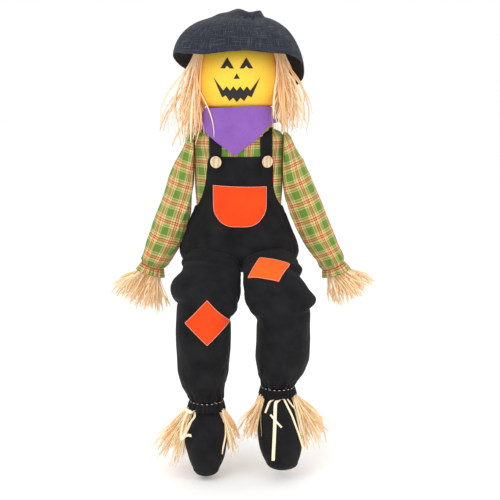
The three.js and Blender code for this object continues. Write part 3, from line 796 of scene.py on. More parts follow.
def make_straps(shirt_tree):
    straps = []
    for side in SIDES:
        low, high = box("strap_" + side)
        low, high = low + [STRAP_SHIFT[side], 0, 0], high + [STRAP_SHIFT[side], 0, 0]
        half = (high[0] - low[0]) / 2
        heart = np.array([(low[0] + high[0]) / 2, 0, 300 * MM])
        angles = np.linspace(math.radians(-4), math.radians(232), 60)
        across = np.linspace(-half, half, 9)
        points = np.zeros((len(angles), len(across), 3))
        for k, offset in enumerate(across):
            centre = heart + [offset, 0, 0]
            away = [reach(shirt_tree, centre, (0, -math.cos(a), math.sin(a))) for a in angles]
            away = softened(away, 6) + 6 * MM
            points[:, k] = centre + np.stack([0 * angles, -np.cos(angles) * away, np.sin(angles) * away],
                                             axis=1)
        points[:, :, 1:] = points[:, 4:5, 1:] * 0.5 + points[:, :, 1:] * 0.5
        obj = grid_object("strap_cloth_" + side, points, cloth_uv(points))
        thicken(obj, 3.0 * MM, offset=0.0, rounded=1)
        fit(obj, "torso", "black_twill", "strap_" + side)
        straps.append(obj)
        for n, row in enumerate((points[1:-1, 1], points[1:-1, -2])):
            above = row + unit(row - heart) * 1.6 * MM
            line = stitches(f"strap_stitching_{side}_{n}", above, 3.2 * MM, 1.4 * MM, 0.35 * MM)
            fit(line, "torso", "black_thread", slot="black_twill")
    return straps


def make_pocket(overalls_tree):
    x0, x1 = POCKET_LOW[0], POCKET_HIGH[0]
    z0, z1 = POCKET_LOW[2], POCKET_HIGH[2]
    corner = 52 * MM
    outline = [(x0, z1), (x0, z0 + corner)]
    skipped = 0.15
    bend = np.linspace(skipped, math.pi / 2, 9)
    left, right, base = x0 + corner, x1 - corner, z0 + corner
    outline += [(left - corner * math.cos(a), base - corner * math.sin(a)) for a in bend]
    outline += [(right + corner * math.sin(a), base - corner * math.cos(a)) for a in bend - skipped]
    outline += [(x1, z0 + corner), (x1, z1 - 4 * MM)]
    place = lambda x, z: (x, -0.5, z)
    obj = applique("pocket", outline, place, overalls_tree, (0, 1, 0), 2.2 * MM, 1.8 * MM)
    fit(obj, "torso", "orange_felt", "bib_pocket")
    edge = edge_stitches("pocket_stitching", outline, 1.2 * MM, place, overalls_tree, (0, 1, 0), 2.6 * MM)
    fit(edge, "torso", "pale_thread", slot="orange_felt")


def make_buttons(trees):
    """Turned discs that rest on the highest cloth under them, where the straps end on the bib."""
    profile = [(0.0, 2.4), (9.0, 2.3), (11.0, 2.7), (12.2, 5.0), (14.0, 6.0), (15.5, 5.1), (16.0, 3.6),
               (15.7, 1.6),
               (14.0, 0.3), (0.0, 0.0)]
    for side in SIDES:
        centre = middle("button_" + side) + [BUTTON_SHIFT[side], 0, -1 * MM]
        normal = Vector((centre[0] * TORSO_DEPTH ** 2, centre[1], 0)).normalized()
        beside, up = Vector((0, 0, 1)).cross(normal), Vector((0, 0, 1))
        rise = []
        for angle in full_turn(12):
            start = Vector(centre) + (beside * math.cos(angle) + up * math.sin(angle)) * 13 * MM
            hits = [tree.ray_cast(start + normal * 0.1, -normal, 0.2)[0] for tree in trees]
            rise += [(hit - Vector(centre)).dot(normal) for hit in hits if hit]
        turn = full_turn(48)
        radius, height = (row[1:-1, None] * MM for row in np.array(profile).T)
        points = np.stack(np.broadcast_arrays(radius * np.cos(turn), radius * np.sin(turn), height), axis=2)
        obj = grid_object("button_disc_" + side, points, cloth_uv(points, 0.1), wrap=True, cap_start=True,
                          cap_end=True)
        facing = Vector((0, 0, 1)).rotation_difference(normal).to_matrix().to_4x4()
        resting = Vector(centre) + Vector((0, max(rise) / normal.y, 0))
        obj.data.transform(Matrix.Translation(resting) @ facing)
        subdivide(turn_outwards(obj))
        fit(obj, "torso", "button_wood", "button_" + side)


# ---------- head ----------
def make_head():
    low, high = box("head_cover")
    depth = (high[1] - low[1]) / (high[0] - low[0])
    tree = cad_tree("head_cover")
    upper = outline_of(tree, low[2] + 22 * MM, 540 * MM, 18, 16)
    lower = outline_of(tree, low[2] + 1.5 * MM, low[2] + 21 * MM, 8, 3)[:8]
    rows = softened(np.vstack([lower, upper]), 2)
    columns = 128
    turn = full_turn(columns)
    place = np.linspace(0, 1, len(rows))
    share = np.linspace(0, 1, 90)
    z, half = np.interp(share, place, rows[:, 0]), np.interp(share, place, rows[:, 1])
    half[-1] = 3 * MM
    stout = 1 + 0.09 * np.exp(-((z - 485 * MM) / (55 * MM)) ** 2)
    points = turned((half * stout)[:, None], depth * half[:, None], z[:, None], turn)
    gather = np.exp(-share / 0.07)[:, None] * np.cos(turn * 22) * 1.8 * MM
    seam = -np.exp(-((np.abs(np.sin(turn)) - 1) / 0.0012) ** 2)[None, :] * 1.2 * MM
    points += from_axis(points) * (gather + seam + bumps(points, 70 * MM, 5) * 1.2 * MM)[..., None]
    obj = grid_object("head_skin", points, cloth_uv(points, 0.66), wrap=True, cap_start=True, cap_end=True)
    subdivide(obj)
    fit(obj, "head", "yellow_cloth", "head_stuffing", "head_cover")
    return obj


def make_face(head_tree):
    shapes = {}
    for side in SIDES:
        low, high = box("eye_" + side)
        half, centre = (high[0] - low[0]) / 2, (high[0] + low[0]) / 2
        rise = high[2] - low[2]
        shapes["eye_" + side] = [(low[0], low[2]), (centre - 0.35 * half, low[2]),
                                 (centre, low[2] + rise / 4),
                                 (centre + 0.35 * half, low[2]), (high[0], low[2]), (centre, high[2])]
    low, high = box("nose")
    shapes["nose"] = [(low[0], low[2]), (high[0], low[2]), ((low[0] + high[0]) / 2, high[2])]
    low, high = box("mouth")
    centre, half = (low[0] + high[0]) / 2, (high[0] - low[0]) / 2
    teeth, tooth = 4, 11 * MM

    def zigzag(width, height, rise):
        places = np.linspace(-1, 1, 2 * teeth + 1)
        return [(centre + width * s, height + rise * s * s + (tooth if i % 2 else 0)) for i,
                s in enumerate(places)]

    lower = zigzag(0.63 * half, low[2], 12 * MM)
    upper = zigzag(0.58 * half, low[2] + 30 * MM, 0)
    shapes["mouth"] = [(low[0], high[2]), *lower, (high[0], high[2]), *upper[::-1]]
    for name, outline in shapes.items():
        obj = applique(name + "_print", outline, lambda x, z: (x, -0.5, z), head_tree, (0, 1, 0), 0.7 * MM,
                       0.6 * MM, 4 * MM)
        fit(obj, "head", "face_print", name)


def make_hat():
    low, high = box("hat_brim")
    crown_low, crown_high = box("hat_crown")
    crown = crown_high[0]
    columns, rows = 168, 64
    turn = full_turn(columns)
    edge = coordinates(frame["nodes"]["hat_brim"])
    around = np.arctan2(edge[:, 0], -edge[:, 1]) % TAU
    droop = np.zeros(columns)
    for j, angle in enumerate(turn):
        near = np.abs((around - angle + math.pi) % TAU - math.pi) < 0.14
        droop[j] = edge[near, 2].min()
    rim = spread_over(6, droop)
    for lobe, depth, spread in ((118, 12 * MM, 24), (-120, 8 * MM, 24)):
        off = (turn - math.radians(lobe) + math.pi) % TAU - math.pi
        rim = rim - depth * np.exp(-(off / math.radians(spread)) ** 2)
    side, front, back = high[0], -low[1], high[1]
    toward = np.cos(turn)
    radius = np.hypot(side * np.sin(turn), np.where(toward > 0, front, back) * toward)
    share = np.linspace(0.0, 1, rows)[:, None]
    flat, roll = 0.24, math.radians(84)
    bend = roll * np.clip((share - flat) / (1 - flat), 0, 1)
    out = np.sin(bend) / math.sin(roll)
    down = (1 - np.cos(bend)) / (1 - math.cos(roll))
    r = np.where(share < flat, crown * share / flat, crown + (radius - crown) * out)
    wave = smoothstep(0.5, 1, share)
    ripple = wave * (2.5 * np.sin(3 * turn + 0.7) + 2.0 * np.sin(5 * turn + 2.1)) * MM
    z = crown_low[2] + 1 * MM - (crown_low[2] - rim) * down + ripple + 6 * MM * np.exp(-(share / 0.2) ** 2)
    x, y = r * np.sin(turn), -r * np.cos(turn)
    # The slack crown has flopped over: a flat lump right of the middle, with an abrupt end and a crease.
    right = x > 16 * MM
    lump = np.hypot((x - 16 * MM) / np.where(right, 44 * MM, 66 * MM), (y + 4 * MM) / (50 * MM))
    step = np.where(right, smoothstep(1.22, 0.92, lump), smoothstep(1.45, 0.55, lump))
    z = z + step * (crown_high[2] - crown_low[2] - 1 * MM + 3 * MM * np.cos(x / (9 * MM)))
    crease_ends = smoothstep(-96 * MM, -70 * MM, y) * smoothstep(-28 * MM, -45 * MM, y)
    crease = np.exp(-((x - 37 * MM) / (3.5 * MM)) ** 2) * crease_ends
    fold_ends = smoothstep(-110 * MM, -60 * MM, y) * smoothstep(0, -40 * MM, y)
    fold = np.exp(-((x + 18 * MM + 0.5 * y) / (9 * MM)) ** 2) * fold_ends
    z = z - crease * 6 * MM - fold * 2.5 * MM
    points = np.stack(np.broadcast_arrays(x, y, z), axis=2)
    points[..., 2] += bumps(points, 45 * MM, 11) * 2.6 * MM
    points[..., :2] *= (1 + 0.012 * bumps(points, 60 * MM, 12) * wave)[..., None]
    points[0] = points[0].mean(axis=0)
    uv = cloth_uv(points, 0.9)
    rim_cut = 0.955
    groove = np.exp(-((share - rim_cut) / 0.008) ** 2) * 1.0 * MM
    points[..., 2] -= groove
    obj = grid_object("hat", points, uv, wrap=True)
    work = bmesh.new()
    work.from_mesh(obj.data)
    bmesh.ops.remove_doubles(work, verts=work.verts, dist=0.05 * MM)
    work.to_mesh(obj.data)
    work.free()
    if obj.data.polygons[columns * 3].normal.z < 0:
        obj.data.flip_normals()
    thicken(obj, 2.6 * MM, offset=-1.0, rounded=1)
    fit(obj, "head", "hat_cloth", "hat_brim", "hat_crown")
    row = int(rim_cut * (rows - 1))
    line = points[row] + [0, 0, 0.9 * MM]
    hem = stitches("hat_stitching", line, 3.4 * MM, 1.6 * MM, 0.4 * MM, closed=True)
    fit(hem, "head", "black_thread", slot="hat_cloth")
    return obj


def make_neckerchief():
    tree = cad_tree("neckerchief")
    low, high = box("neckerchief")
    knot = middle("neckerchief_knot")
    columns, rows = 180, 26
    turn = TAU * (np.arange(columns) + 0.5) / columns
    signed = np.where(turn > math.pi, turn - TAU, turn)
    away = np.abs(signed)
    tip = -9 * MM
    sideways = 121 * MM * np.sin(np.minimum(away, math.pi / 2)) * np.sign(signed)
    from_tip = np.abs(sideways - tip) / np.where(sideways < tip, 91 * MM, 105 * MM)
    top_front = high[2] + 1 * MM - 13 * MM * (away / 1.5) ** 2 + 2 * MM * np.sin(2.2 * signed)
    top_back = high[2] - 14 * MM - 4 * MM * smoothstep(1.5, 3.1, away)
    top = np.where(away < 1.5, top_front, top_back)
    corner = 0.97
    corner_height = np.where(signed < 0, 384 * MM, 398 * MM)
    bottom = low[2] + (corner_height - low[2]) * np.clip(from_tip, 0, 1)
    bottom = bottom + (402 * MM - corner_height) * smoothstep(corner, 1.9, away)
    share = np.linspace(0, 1, rows)[:, None]
    z = bottom + (top - bottom) * share
    ring_heights = np.linspace(low[2] + 4 * MM, high[2] - 4 * MM, 14)
    fronts = softened([reach(tree, (tip, 0, h), (0, -1, 0)) for h in ring_heights], 1)
    deep = np.interp(z, ring_heights, fronts)
    wide_heights = [312 * MM, 352 * MM, 385 * MM, 405 * MM, 430 * MM, 450 * MM]
    wide = np.interp(z, wide_heights, np.array([118, 125, 112, 101, 97, 99]) * MM) + 1 * MM
    # Behind the neck the cloth is drawn in towards the knot.
    drawn = smoothstep(1.7, 3.0, away)
    x = wide * np.sin(turn)
    y = -deep * np.cos(turn) * np.where(away > math.pi / 2, 1.0 - 0.06 * drawn, 1.0)
    z = z - drawn * (z - knot[2]) * 0.35
    points = np.stack(np.broadcast_arrays(x, y, z), axis=2)
    drape = np.sin((z - low[2]) / (15 * MM) + 1.2 * np.cos(2 * turn)) * smoothstep(0.2, 0.8, share) * 1.1 * MM
    pleats = np.sin((z - knot[2]) / (3.2 * MM)) * drawn * 1.6 * MM
    corner_flare = np.exp(-((away - corner - 0.15) / 0.18) ** 2) * (1 - share) * 6 * MM
    soft = bumps(points, 38 * MM, 21) * 2.2 * MM
    points += from_axis(points) * (drape + pleats + corner_flare + soft)[..., None]
    obj = grid_object("neckerchief_cloth", points, cloth_uv(points, 0.66), wrap=True)
    thicken(obj, 1.8 * MM, offset=0.0, rounded=1)
    fit(obj, "torso", "purple_felt", "neckerchief")
    make_knot(knot)


def make_knot(centre):
    turn = full_turn(28)
    height = np.linspace(-1, 1, 17)
    height = height[:, None]
    wrap = 1 + 0.10 * np.cos(3 * turn + 4 * height) + 0.05 * np.cos(7 * turn - 3 * height)
    radius = (np.sqrt(1 - height ** 2) * 0.96 + 0.04) * wrap
    _, high = box("neckerchief_knot")
    size = 15 * MM
    points = [height * 1.25, 0.8 * radius * np.cos(turn), radius * np.sin(turn)]
    points = np.stack(np.broadcast_arrays(*points), axis=2) * size
    points += np.array([centre[0], centre[1], high[2] - 14 * MM])
    obj = grid_object("knot", points, cloth_uv(points, 0.09), wrap=True, cap_start=True, cap_end=True)
    subdivide(turn_outwards(obj))
    fit(obj, "torso", "purple_felt", "neckerchief_knot")
    for n, lean in enumerate((-0.42, 0.3)):
        down = np.linspace(0, 1, 14)
        across = np.linspace(-1, 1, 7)
        width = (5 + 9 * down) * MM
        x = lean * down[:, None] * 44 * MM + across * width[:, None]
        z = high[2] - 18 * MM - down[:, None] * (46 - 6 * n) * MM - np.abs(across) * down[:, None] * 4 * MM
        y = centre[1] + 2 * MM + (3 * np.cos(across * 2.4) + 1.5 * np.sin(down[:, None] * 7 + n)) * MM + 0 * x
        y = y + (1 - 2 * n) * 1.5 * MM
        tail_points = np.stack([x + centre[0], y, z], axis=2)
        tail = grid_object(f"knot_tail_{n}", tail_points, cloth_uv(tail_points))
        thicken(tail, 1.8 * MM, offset=0.0, rounded=1)
        fit(tail, "torso", "purple_felt")


# ---------- raffia ----------
def clear_of(points, trees, margin):
    """Moves points that lie in or too near a closed surface out to a distance from it."""
    for n, point in enumerate(points):
        for tree in trees:
            place, normal, _, distance = tree.find_nearest(Vector(point))
            if place is None:
                continue
            inside = (Vector(point) - place).dot(normal) < 0
            if inside or distance < margin:
                points[n] = place + normal * margin
    return points


def strands(name, roots, aims, lengths, widths, seed, droop, curl, avoid=(), margin=2 * MM, steps=12):
    """A bunch of flat raffia strands that leave their roots along aims and bend down under their weight."""
    chance = np.random.default_rng(seed)
    count = len(roots)
    step = (np.asarray(lengths) / steps)[:, None]
    down = np.array([0, 0, -1.0])
    wander = unit(chance.normal(size=(count, 3)))
    swing = chance.uniform(0, TAU, count)
    heading = unit(aims)
    path = [np.array(roots, float)]
    for k in range(steps):
        t = (k + 1) / steps
        turning = wander * (curl * np.sin(swing + 4.5 * t))[:, None]
        heading = unit(heading * (1 - droop) + down * droop + turning)
        path.append(clear_of(path[-1] + heading * step, avoid, margin))
    path = np.array(path)
    along = unit(np.gradient(path, axis=0))
    facing = unit(chance.normal(size=(count, 3)))
    side = unit(np.cross(along, facing[None]))
    twist = chance.uniform(-1.2, 1.2, count)
    lift = np.cross(along, side)
    t = np.linspace(0, 1, steps + 1)[:, None, None]
    angle = twist[None, :, None] * t
    across, up = side * np.cos(angle) + lift * np.sin(angle), lift * np.cos(angle) - side * np.sin(angle)
    taper = np.where(t > 0.8, 1 - 0.55 * (t - 0.8) / 0.2, 1.0)
    half = np.asarray(widths)[None, :, None] / 2 * taper
    thick = 0.28 * MM
    bow = half * 0.35
    ring = [path - across * half, path + up * (bow + thick), path + across * half, path + up * (bow - thick)]
    verts = np.stack(ring, axis=2).transpose(1, 0, 2, 3).reshape(-1, 3)
    faces, loop_uv = [], []
    per = 4 * (steps + 1)
    u_of = (0.1, 0.5, 0.9, 0.5)
    for n in range(count):
        base, reach_v = n * per, lengths[n] / steps
        for k in range(steps):
            for c in range(4):
                d = (c + 1) % 4
                a, b = base + 4 * k, base + 4 * (k + 1)
                faces.append((a + c, a + d, b + d, b + c))
                loop_uv += [(n + u_of[c], k * reach_v), (n + u_of[d], k * reach_v),
                            (n + u_of[d], (k + 1) * reach_v),
                            (n + u_of[c], (k + 1) * reach_v)]
        for start, order in ((base, -1), (base + 4 * steps, 1)):
            faces.append(tuple(start + c for c in range(4))[::order])
            loop_uv += [(n + 0.5, 0.0)] * 4
    obj = make_object(name, verts, faces, loop_uv)
    return turn_outwards(obj)


def arm_axes(side):
    """The ends of an arm, the direction along it and the two axes of its cross section."""
    shoulder, wrist = joint_place("shoulder_" + side), middle("wrist_elastic_" + side)
    along = unit(wrist - shoulder)
    across = unit(np.cross(along, (0, 1, 0)))
    return shoulder, wrist, along, across, np.cross(across, along)


def make_hand(side, sign):
    low, _ = box("hand_raffia_" + side)
    _, wrist, along, across, deep = arm_axes(side)
    chance = np.random.default_rng(31 + sign)
    count = 190
    start = wrist + along * 2 * MM
    spin, reach_out = chance.uniform(0, TAU, count), np.sqrt(chance.uniform(0, 1, count))
    aside, ahead = reach_out * np.cos(spin), reach_out * np.sin(spin)
    roots = start + (aside[:, None] * across + ahead[:, None] * deep) * 22 * MM
    hand = unit(middle("hand_raffia_" + side) - wrist)
    spread = {"left": 0.62, "right": 0.5}[side]
    aims = hand + aside[:, None] * across * spread + ahead[:, None] * deep * 0.42
    lengths = chance.uniform(0.72, 1.0, count) * np.linalg.norm(low - wrist) * 0.80
    widths = chance.uniform(2.8, 6.0, count) * MM
    obj = strands("hand_straw_" + side, roots, aims, lengths, widths, 41 + sign, 0.035, 0.13)
    fit(obj, "arm_" + side, "straw_raffia", "hand_raffia_" + side)


def make_ankle_straw(side, sign, boot_tree):
    ankle = joint_place("ankle_" + side)
    chance = np.random.default_rng(61 + sign)
    for place in ("outer", "inner"):
        outward = sign if place == "outer" else -sign
        low, high = box(f"ankle_raffia_{side}_{place}")
        count = 110 if place == "outer" else 80
        turn = np.minimum(chance.normal(-0.25, 0.45, count), 0.42)
        radius = 38 * MM + chance.uniform(0, 9 * MM, count)
        roots = ankle + np.stack([outward * radius * np.cos(turn), -radius * np.sin(turn + 0.25),
                                  0 * turn - 22 * MM], axis=1)
        push = chance.uniform(0.35, 1.05, count) if place == "outer" else chance.uniform(0.2, 0.5, count)
        aims = np.stack([outward * push * np.cos(turn), -0.5 * np.sin(turn + 0.1), -np.ones(count)], axis=1)
        lengths = chance.uniform(0.68, 1.0, count) * (high[2] - low[2]) * (1.08 if place == "outer" else 0.98)
        widths = chance.uniform(2.8, 6.0, count) * MM
        obj = strands(f"ankle_straw_{side}_{place}", roots, aims, lengths, widths, 71 + sign, 0.04, 0.12,
                      [boot_tree], 2 * MM)
        fit(obj, "shin_" + side, "straw_raffia", f"ankle_raffia_{side}_{place}")


ANKLE_TIES = {  # width, then the line of a loose strand in front of the boot: x and z from the ankle, in mm
    "left": [(8, [(-58, 2), (-31, -15), (-27, -38), (-56, -73), (-63, -84), (-37, -79)]),
             (4, [(-46, -8), (-58, -40), (-64, -78)])],
    "right": [(8.5, [(6, -24), (-7, -34), (-9, -90), (-13, -176)]), (5, [(15, -26), (37, -68), (66, -150)]),
              (5, [(-33, -61), (-22, -34), (-6, -22), (18, -26)]), (5, [(-20, -62), (9, -90)]),
              (4.5, [(24, -28), (48, -62), (60, -120)])],
}


def make_ankle_ties(side, boot_tree):
    ankle = joint_place("ankle_" + side)
    for n, (width, line) in enumerate(ANKLE_TIES[side]):
        line = np.array(line, float) * MM
        t = np.linspace(0, len(line) - 1, 8 * len(line))
        x, z = (softened(np.interp(t, range(len(line)), line[:, k]), 3) for k in (0, 1))
        starts = np.stack([ankle[0] + x, 0 * x - 0.6, ankle[2] + z], axis=1)
        laid = lie_on(boot_tree, starts, (0, 1, 0), 4 * MM)
        laid[:, 0], laid[:, 2] = starts[:, 0], starts[:, 2]
        laid[:, 1] = softened(np.minimum(laid[:, 1], ankle[1] - 20 * MM), 6)
        along = unit(np.gradient(laid, axis=0))
        across = unit(np.cross(along, (0, 1, 0))) * width * MM / 2
        bow = np.array([0, -0.8 * MM, 0])
        points = np.stack([laid - across, laid - across / 2 + bow, laid + across / 2 + bow, laid + across],
                          axis=1)
        obj = grid_object(f"ankle_tie_{side}_{n}", points, cloth_uv(points) + [n, 0])
        thicken(obj, 0.7 * MM, offset=0.0)
        fit(obj, "shin_" + side, "tie_raffia", slot="straw_raffia")


HAIR_ROOTS = 604 * MM  # just below the hat


def make_hair(side, sign, avoid):
    low, high = box("hair_" + side)
    chance = np.random.default_rng(101 + sign)
    count = 210
    turn = chance.uniform(1.38, 2.35, count)
    spread = chance.uniform(0, 1, count)
    radius = (90 + 20 * spread) * MM
    height = HAIR_ROOTS + chance.uniform(-8, 6, count) * MM
    roots = np.stack([sign * radius * np.sin(turn), -0.9 * radius * np.cos(turn), height], axis=1)
    forward = -0.14 - 0.2 * chance.uniform(0, 1, count) + 0.36 * smoothstep(1.6, 2.4, turn)
    outward = 0.07 + 0.20 * spread
    aims = np.stack([sign * outward, forward, -np.ones(count)], axis=1)
    lengths = chance.uniform(0.66, 1.0, count) * (high[2] - low[2]) * 1.02
    widths = chance.uniform(2.8, 6.2, count) * MM
    obj = strands("hair_straw_" + side, roots, aims, lengths, widths, 111 + sign, 0.085, 0.12, avoid,
                  4 * MM, steps=16)
    dress(obj, "hair_raffia")
    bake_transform(obj)
    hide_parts("hair_" + side)


# ---------- arms ----------
def make_arm(side, sign):
    shoulder, wrist, along, across, deep = arm_axes(side)
    length = np.linalg.norm(wrist - shoulder) - 3 * MM
    tree = cad_tree("sleeve_" + side)
    low, high = box("sleeve_" + side)
    outer = across if across[0] * sign > 0 else -across
    rows, columns = 92, 78
    turn = full_turn(columns)
    cap_length, cap_rows = 32 * MM, 14
    dome = -cap_length * np.cos(np.linspace(0.12, math.pi / 2, cap_rows))
    s = np.concatenate([dome, np.linspace(0, length, rows - cap_rows + 1)[1:]])
    stations = np.linspace(5 * MM, length - 4 * MM, 20)
    radii = softened([reach(tree, shoulder + along * q, outer) for q in stations], 2)
    r = np.interp(s, stations, radii)
    r = np.where(s < 0, radii[0] * np.sqrt(np.clip(1 - (s / cap_length) ** 2, 0, 1)), r)
    r = r - 2.0 * MM
    near_wrist = np.exp(-(length - s) / (26 * MM))
    wrist_radius = box("wrist_elastic_" + side)[1][1] - 3 * MM
    r = r + (wrist_radius - r) * np.exp(-((length - s) / (10 * MM)) ** 2)
    chance = np.random.default_rng(5 + sign)
    phase = chance.uniform(0, TAU, 4)
    wave = np.cos(15 * turn + phase[0]) + 0.6 * np.cos(23 * turn + phase[1])
    pleats = near_wrist[:, None] * 3.2 * MM * wave
    shoulder_folds = np.exp(-((s - 25 * MM) / (38 * MM)) ** 2)[:,
                                                               None] * 3.0 * MM * np.cos(9 * turn + phase[2])
    outwards = np.maximum(np.cos(turn) * np.dot(across, outer), 0)[None, :]
    sloped = np.interp(s, [0, 20 * MM, 38 * MM, 60 * MM, 100 * MM], [0.42, 0.46, 0.60, 0.82, 1])[:, None]
    radius = r[:, None] * (1 - (1 - sloped) * outwards) + pleats + shoulder_folds
    bow = 11 * MM * smoothstep(20 * MM, 110 * MM, s) * (1 - smoothstep(0.7 * length, length, s))
    centre = shoulder + along * s[:, None] - outer * bow[:, None]
    points = centre[:, None] + radius[..., None] * round_line(turn, across, deep)
    sway = bumps(points, 70 * MM, 31 + sign) * 2.5 * MM
    points += sway[..., None] * unit(points - centre[:, None])
    seam = low[0] if sign > 0 else -high[0]
    inwards = np.maximum(seam + 1 * MM - points[..., 0] * sign, 0)
    points[..., 0] += sign * (inwards - 2 * MM * np.tanh(inwards * 0.12 / (2 * MM)))
    uv = cloth_uv(points, 6 * PLAID_REPEAT)
    uv[..., 0] += 0.3 * PLAID_REPEAT
    obj = grid_object("sleeve_cloth_" + side, points, uv, wrap=True, cap_start=True, cap_end=True)
    station = (coordinates(obj) - shoulder) @ along
    cap = np.interp(station, [-50 * MM, 0, 40 * MM, length - 30 * MM, length],
                    [1 * MM, 4 * MM, 7 * MM, 7 * MM, 1 * MM])
    simulate(obj, (station > length - 5 * MM) | (station < -30 * MM), cap, growth=0.06)
    subdivide(turn_outwards(obj))
    fit(obj, "arm_" + side, "plaid_cotton", "sleeve_" + side, "arm_stuffing_" + side)
    frill_points = ruffle(wrist, along, across, deep, wrist_radius - 0.5 * MM, 38 * MM, 17 * MM, 3.6 * MM,
                          17, 7 + sign)
    frill = grid_object("sleeve_ruffle_" + side, frill_points, cloth_uv(frill_points, 6 * PLAID_REPEAT),
                        wrap=True)
    thicken(frill, 1.4 * MM, offset=0.0, rounded=1)
    fit(frill, "arm_" + side, "plaid_cotton", "sleeve_frill_" + side, "wrist_elastic_" + side)


def ruffle(place, along, across, deep, start, end, length, wave, pleats, seed):
    """A short gathered frill: a ring of cloth that waves more and more towards its free edge."""
    columns, rows = pleats * 8, 9
    chance = np.random.default_rng(seed)
    turn = full_turn(columns)
    slow, quick = chance.uniform(0, TAU, 2)
    uneven = turn + 0.12 * np.sin(3 * turn + slow) + 0.06 * np.sin(5 * turn + quick)
    t = np.linspace(0, 1, rows)[:, None]
    radius = start + (end - start) * t ** 0.8 + wave * (0.35 + 0.65 * t) * np.cos(pleats * uneven)
    down = -4 * MM + (length + 4 * MM) * t + 1.6 * MM * t * np.cos(2 * turn + seed)
    return place + along * down[..., None] + radius[..., None] * round_line(turn, across, deep)


# ---------- legs ----------
def leg_path(side):
    """Centre line of a trouser leg from inside the hips over the knee to the ankle, at close steps."""
    hip, knee, ankle = (joint_place(name + side) for name in ("hip_", "knee_", "ankle_"))
    thigh, shin = unit(knee - hip), unit(ankle - knee)
    cut = 42 * MM
    bend_start, bend_end = knee - thigh * cut, knee + shin * cut
    t = np.linspace(0, 1, 24)[:, None]
    bend = bend_start * (1 - t) ** 2 + 2 * knee * t * (1 - t) + bend_end * t ** 2
    start = hip - thigh * 34 * MM
    straight = lambda a, b, n: a + (b - a) * np.linspace(0, 1, n)[:, None]
    line = np.vstack([straight(start, bend_start, 30)[:-1], bend[:-1], straight(bend_end, ankle, 40)])
    distance = lengths_along(line)
    return line, distance


# share of the leg's length, then how far its outer side, inner side and half thickness reach, in mm
LEG_SHAPE = {
    "left": [
        (0.00, 50, 60, 22), (0.08, 72, 82, 34), (0.13, 68, 86, 40), (0.17, 72, 88, 43), (0.24, 89, 90, 46),
        (0.32, 92, 91, 50), (0.365, 86, 89, 53), (0.39, 76, 86, 55), (0.43, 75, 80, 58), (0.48, 75, 65, 60),
        (0.56, 75, 64, 62), (0.68, 73, 63, 62), (0.82, 70, 56, 58), (0.92, 60, 46, 51),
        (0.97, 48, 44, 45), (1.0, 43, 43, 43),
    ],
    "right": [
        (0.00, 50, 60, 22), (0.09, 68, 82, 34), (0.17, 70, 84, 40), (0.215, 68, 86, 42), (0.25, 55, 87, 43),
        (0.30, 64, 88, 46), (0.37, 80, 88, 51), (0.42, 93, 86, 55), (0.45, 92, 82, 56), (0.485, 81, 72, 58),
        (0.56, 81, 54, 60), (0.68, 81, 54, 62), (0.82, 76, 55, 58), (0.92, 64, 50, 51),
        (0.97, 50, 44, 45), (1.0, 43, 43, 43),
    ],
}
PATCH_SIZE = 80 * MM
# share, angle from the outer side towards the front, height and length in mm, width in radians
LEG_FOLDS = {
    "left": [(0.13, 1.2, -5, 7, 0.9), (0.19, 1.5, 4, 12, 0.9), (0.39, 0.35, -5, 6, 0.5),
             (0.42, 2.6, 5, 10, 0.5),
             (0.46, 2.5, -5, 7, 0.6), (0.30, 0.5, 5, 16, 0.4), (0.34, 2.2, -3, 8, 0.7)],
    "right": [(0.25, 0.45, -6, 6, 0.6), (0.21, 0.5, 4, 9, 0.5), (0.48, 0.3, -6, 7, 0.5),
              (0.43, 0.5, 5, 14, 0.5),
              (0.48, 2.6, 5, 10, 0.5), (0.52, 2.5, -5, 7, 0.6), (0.33, 1.9, -3, 9, 0.8)],
}


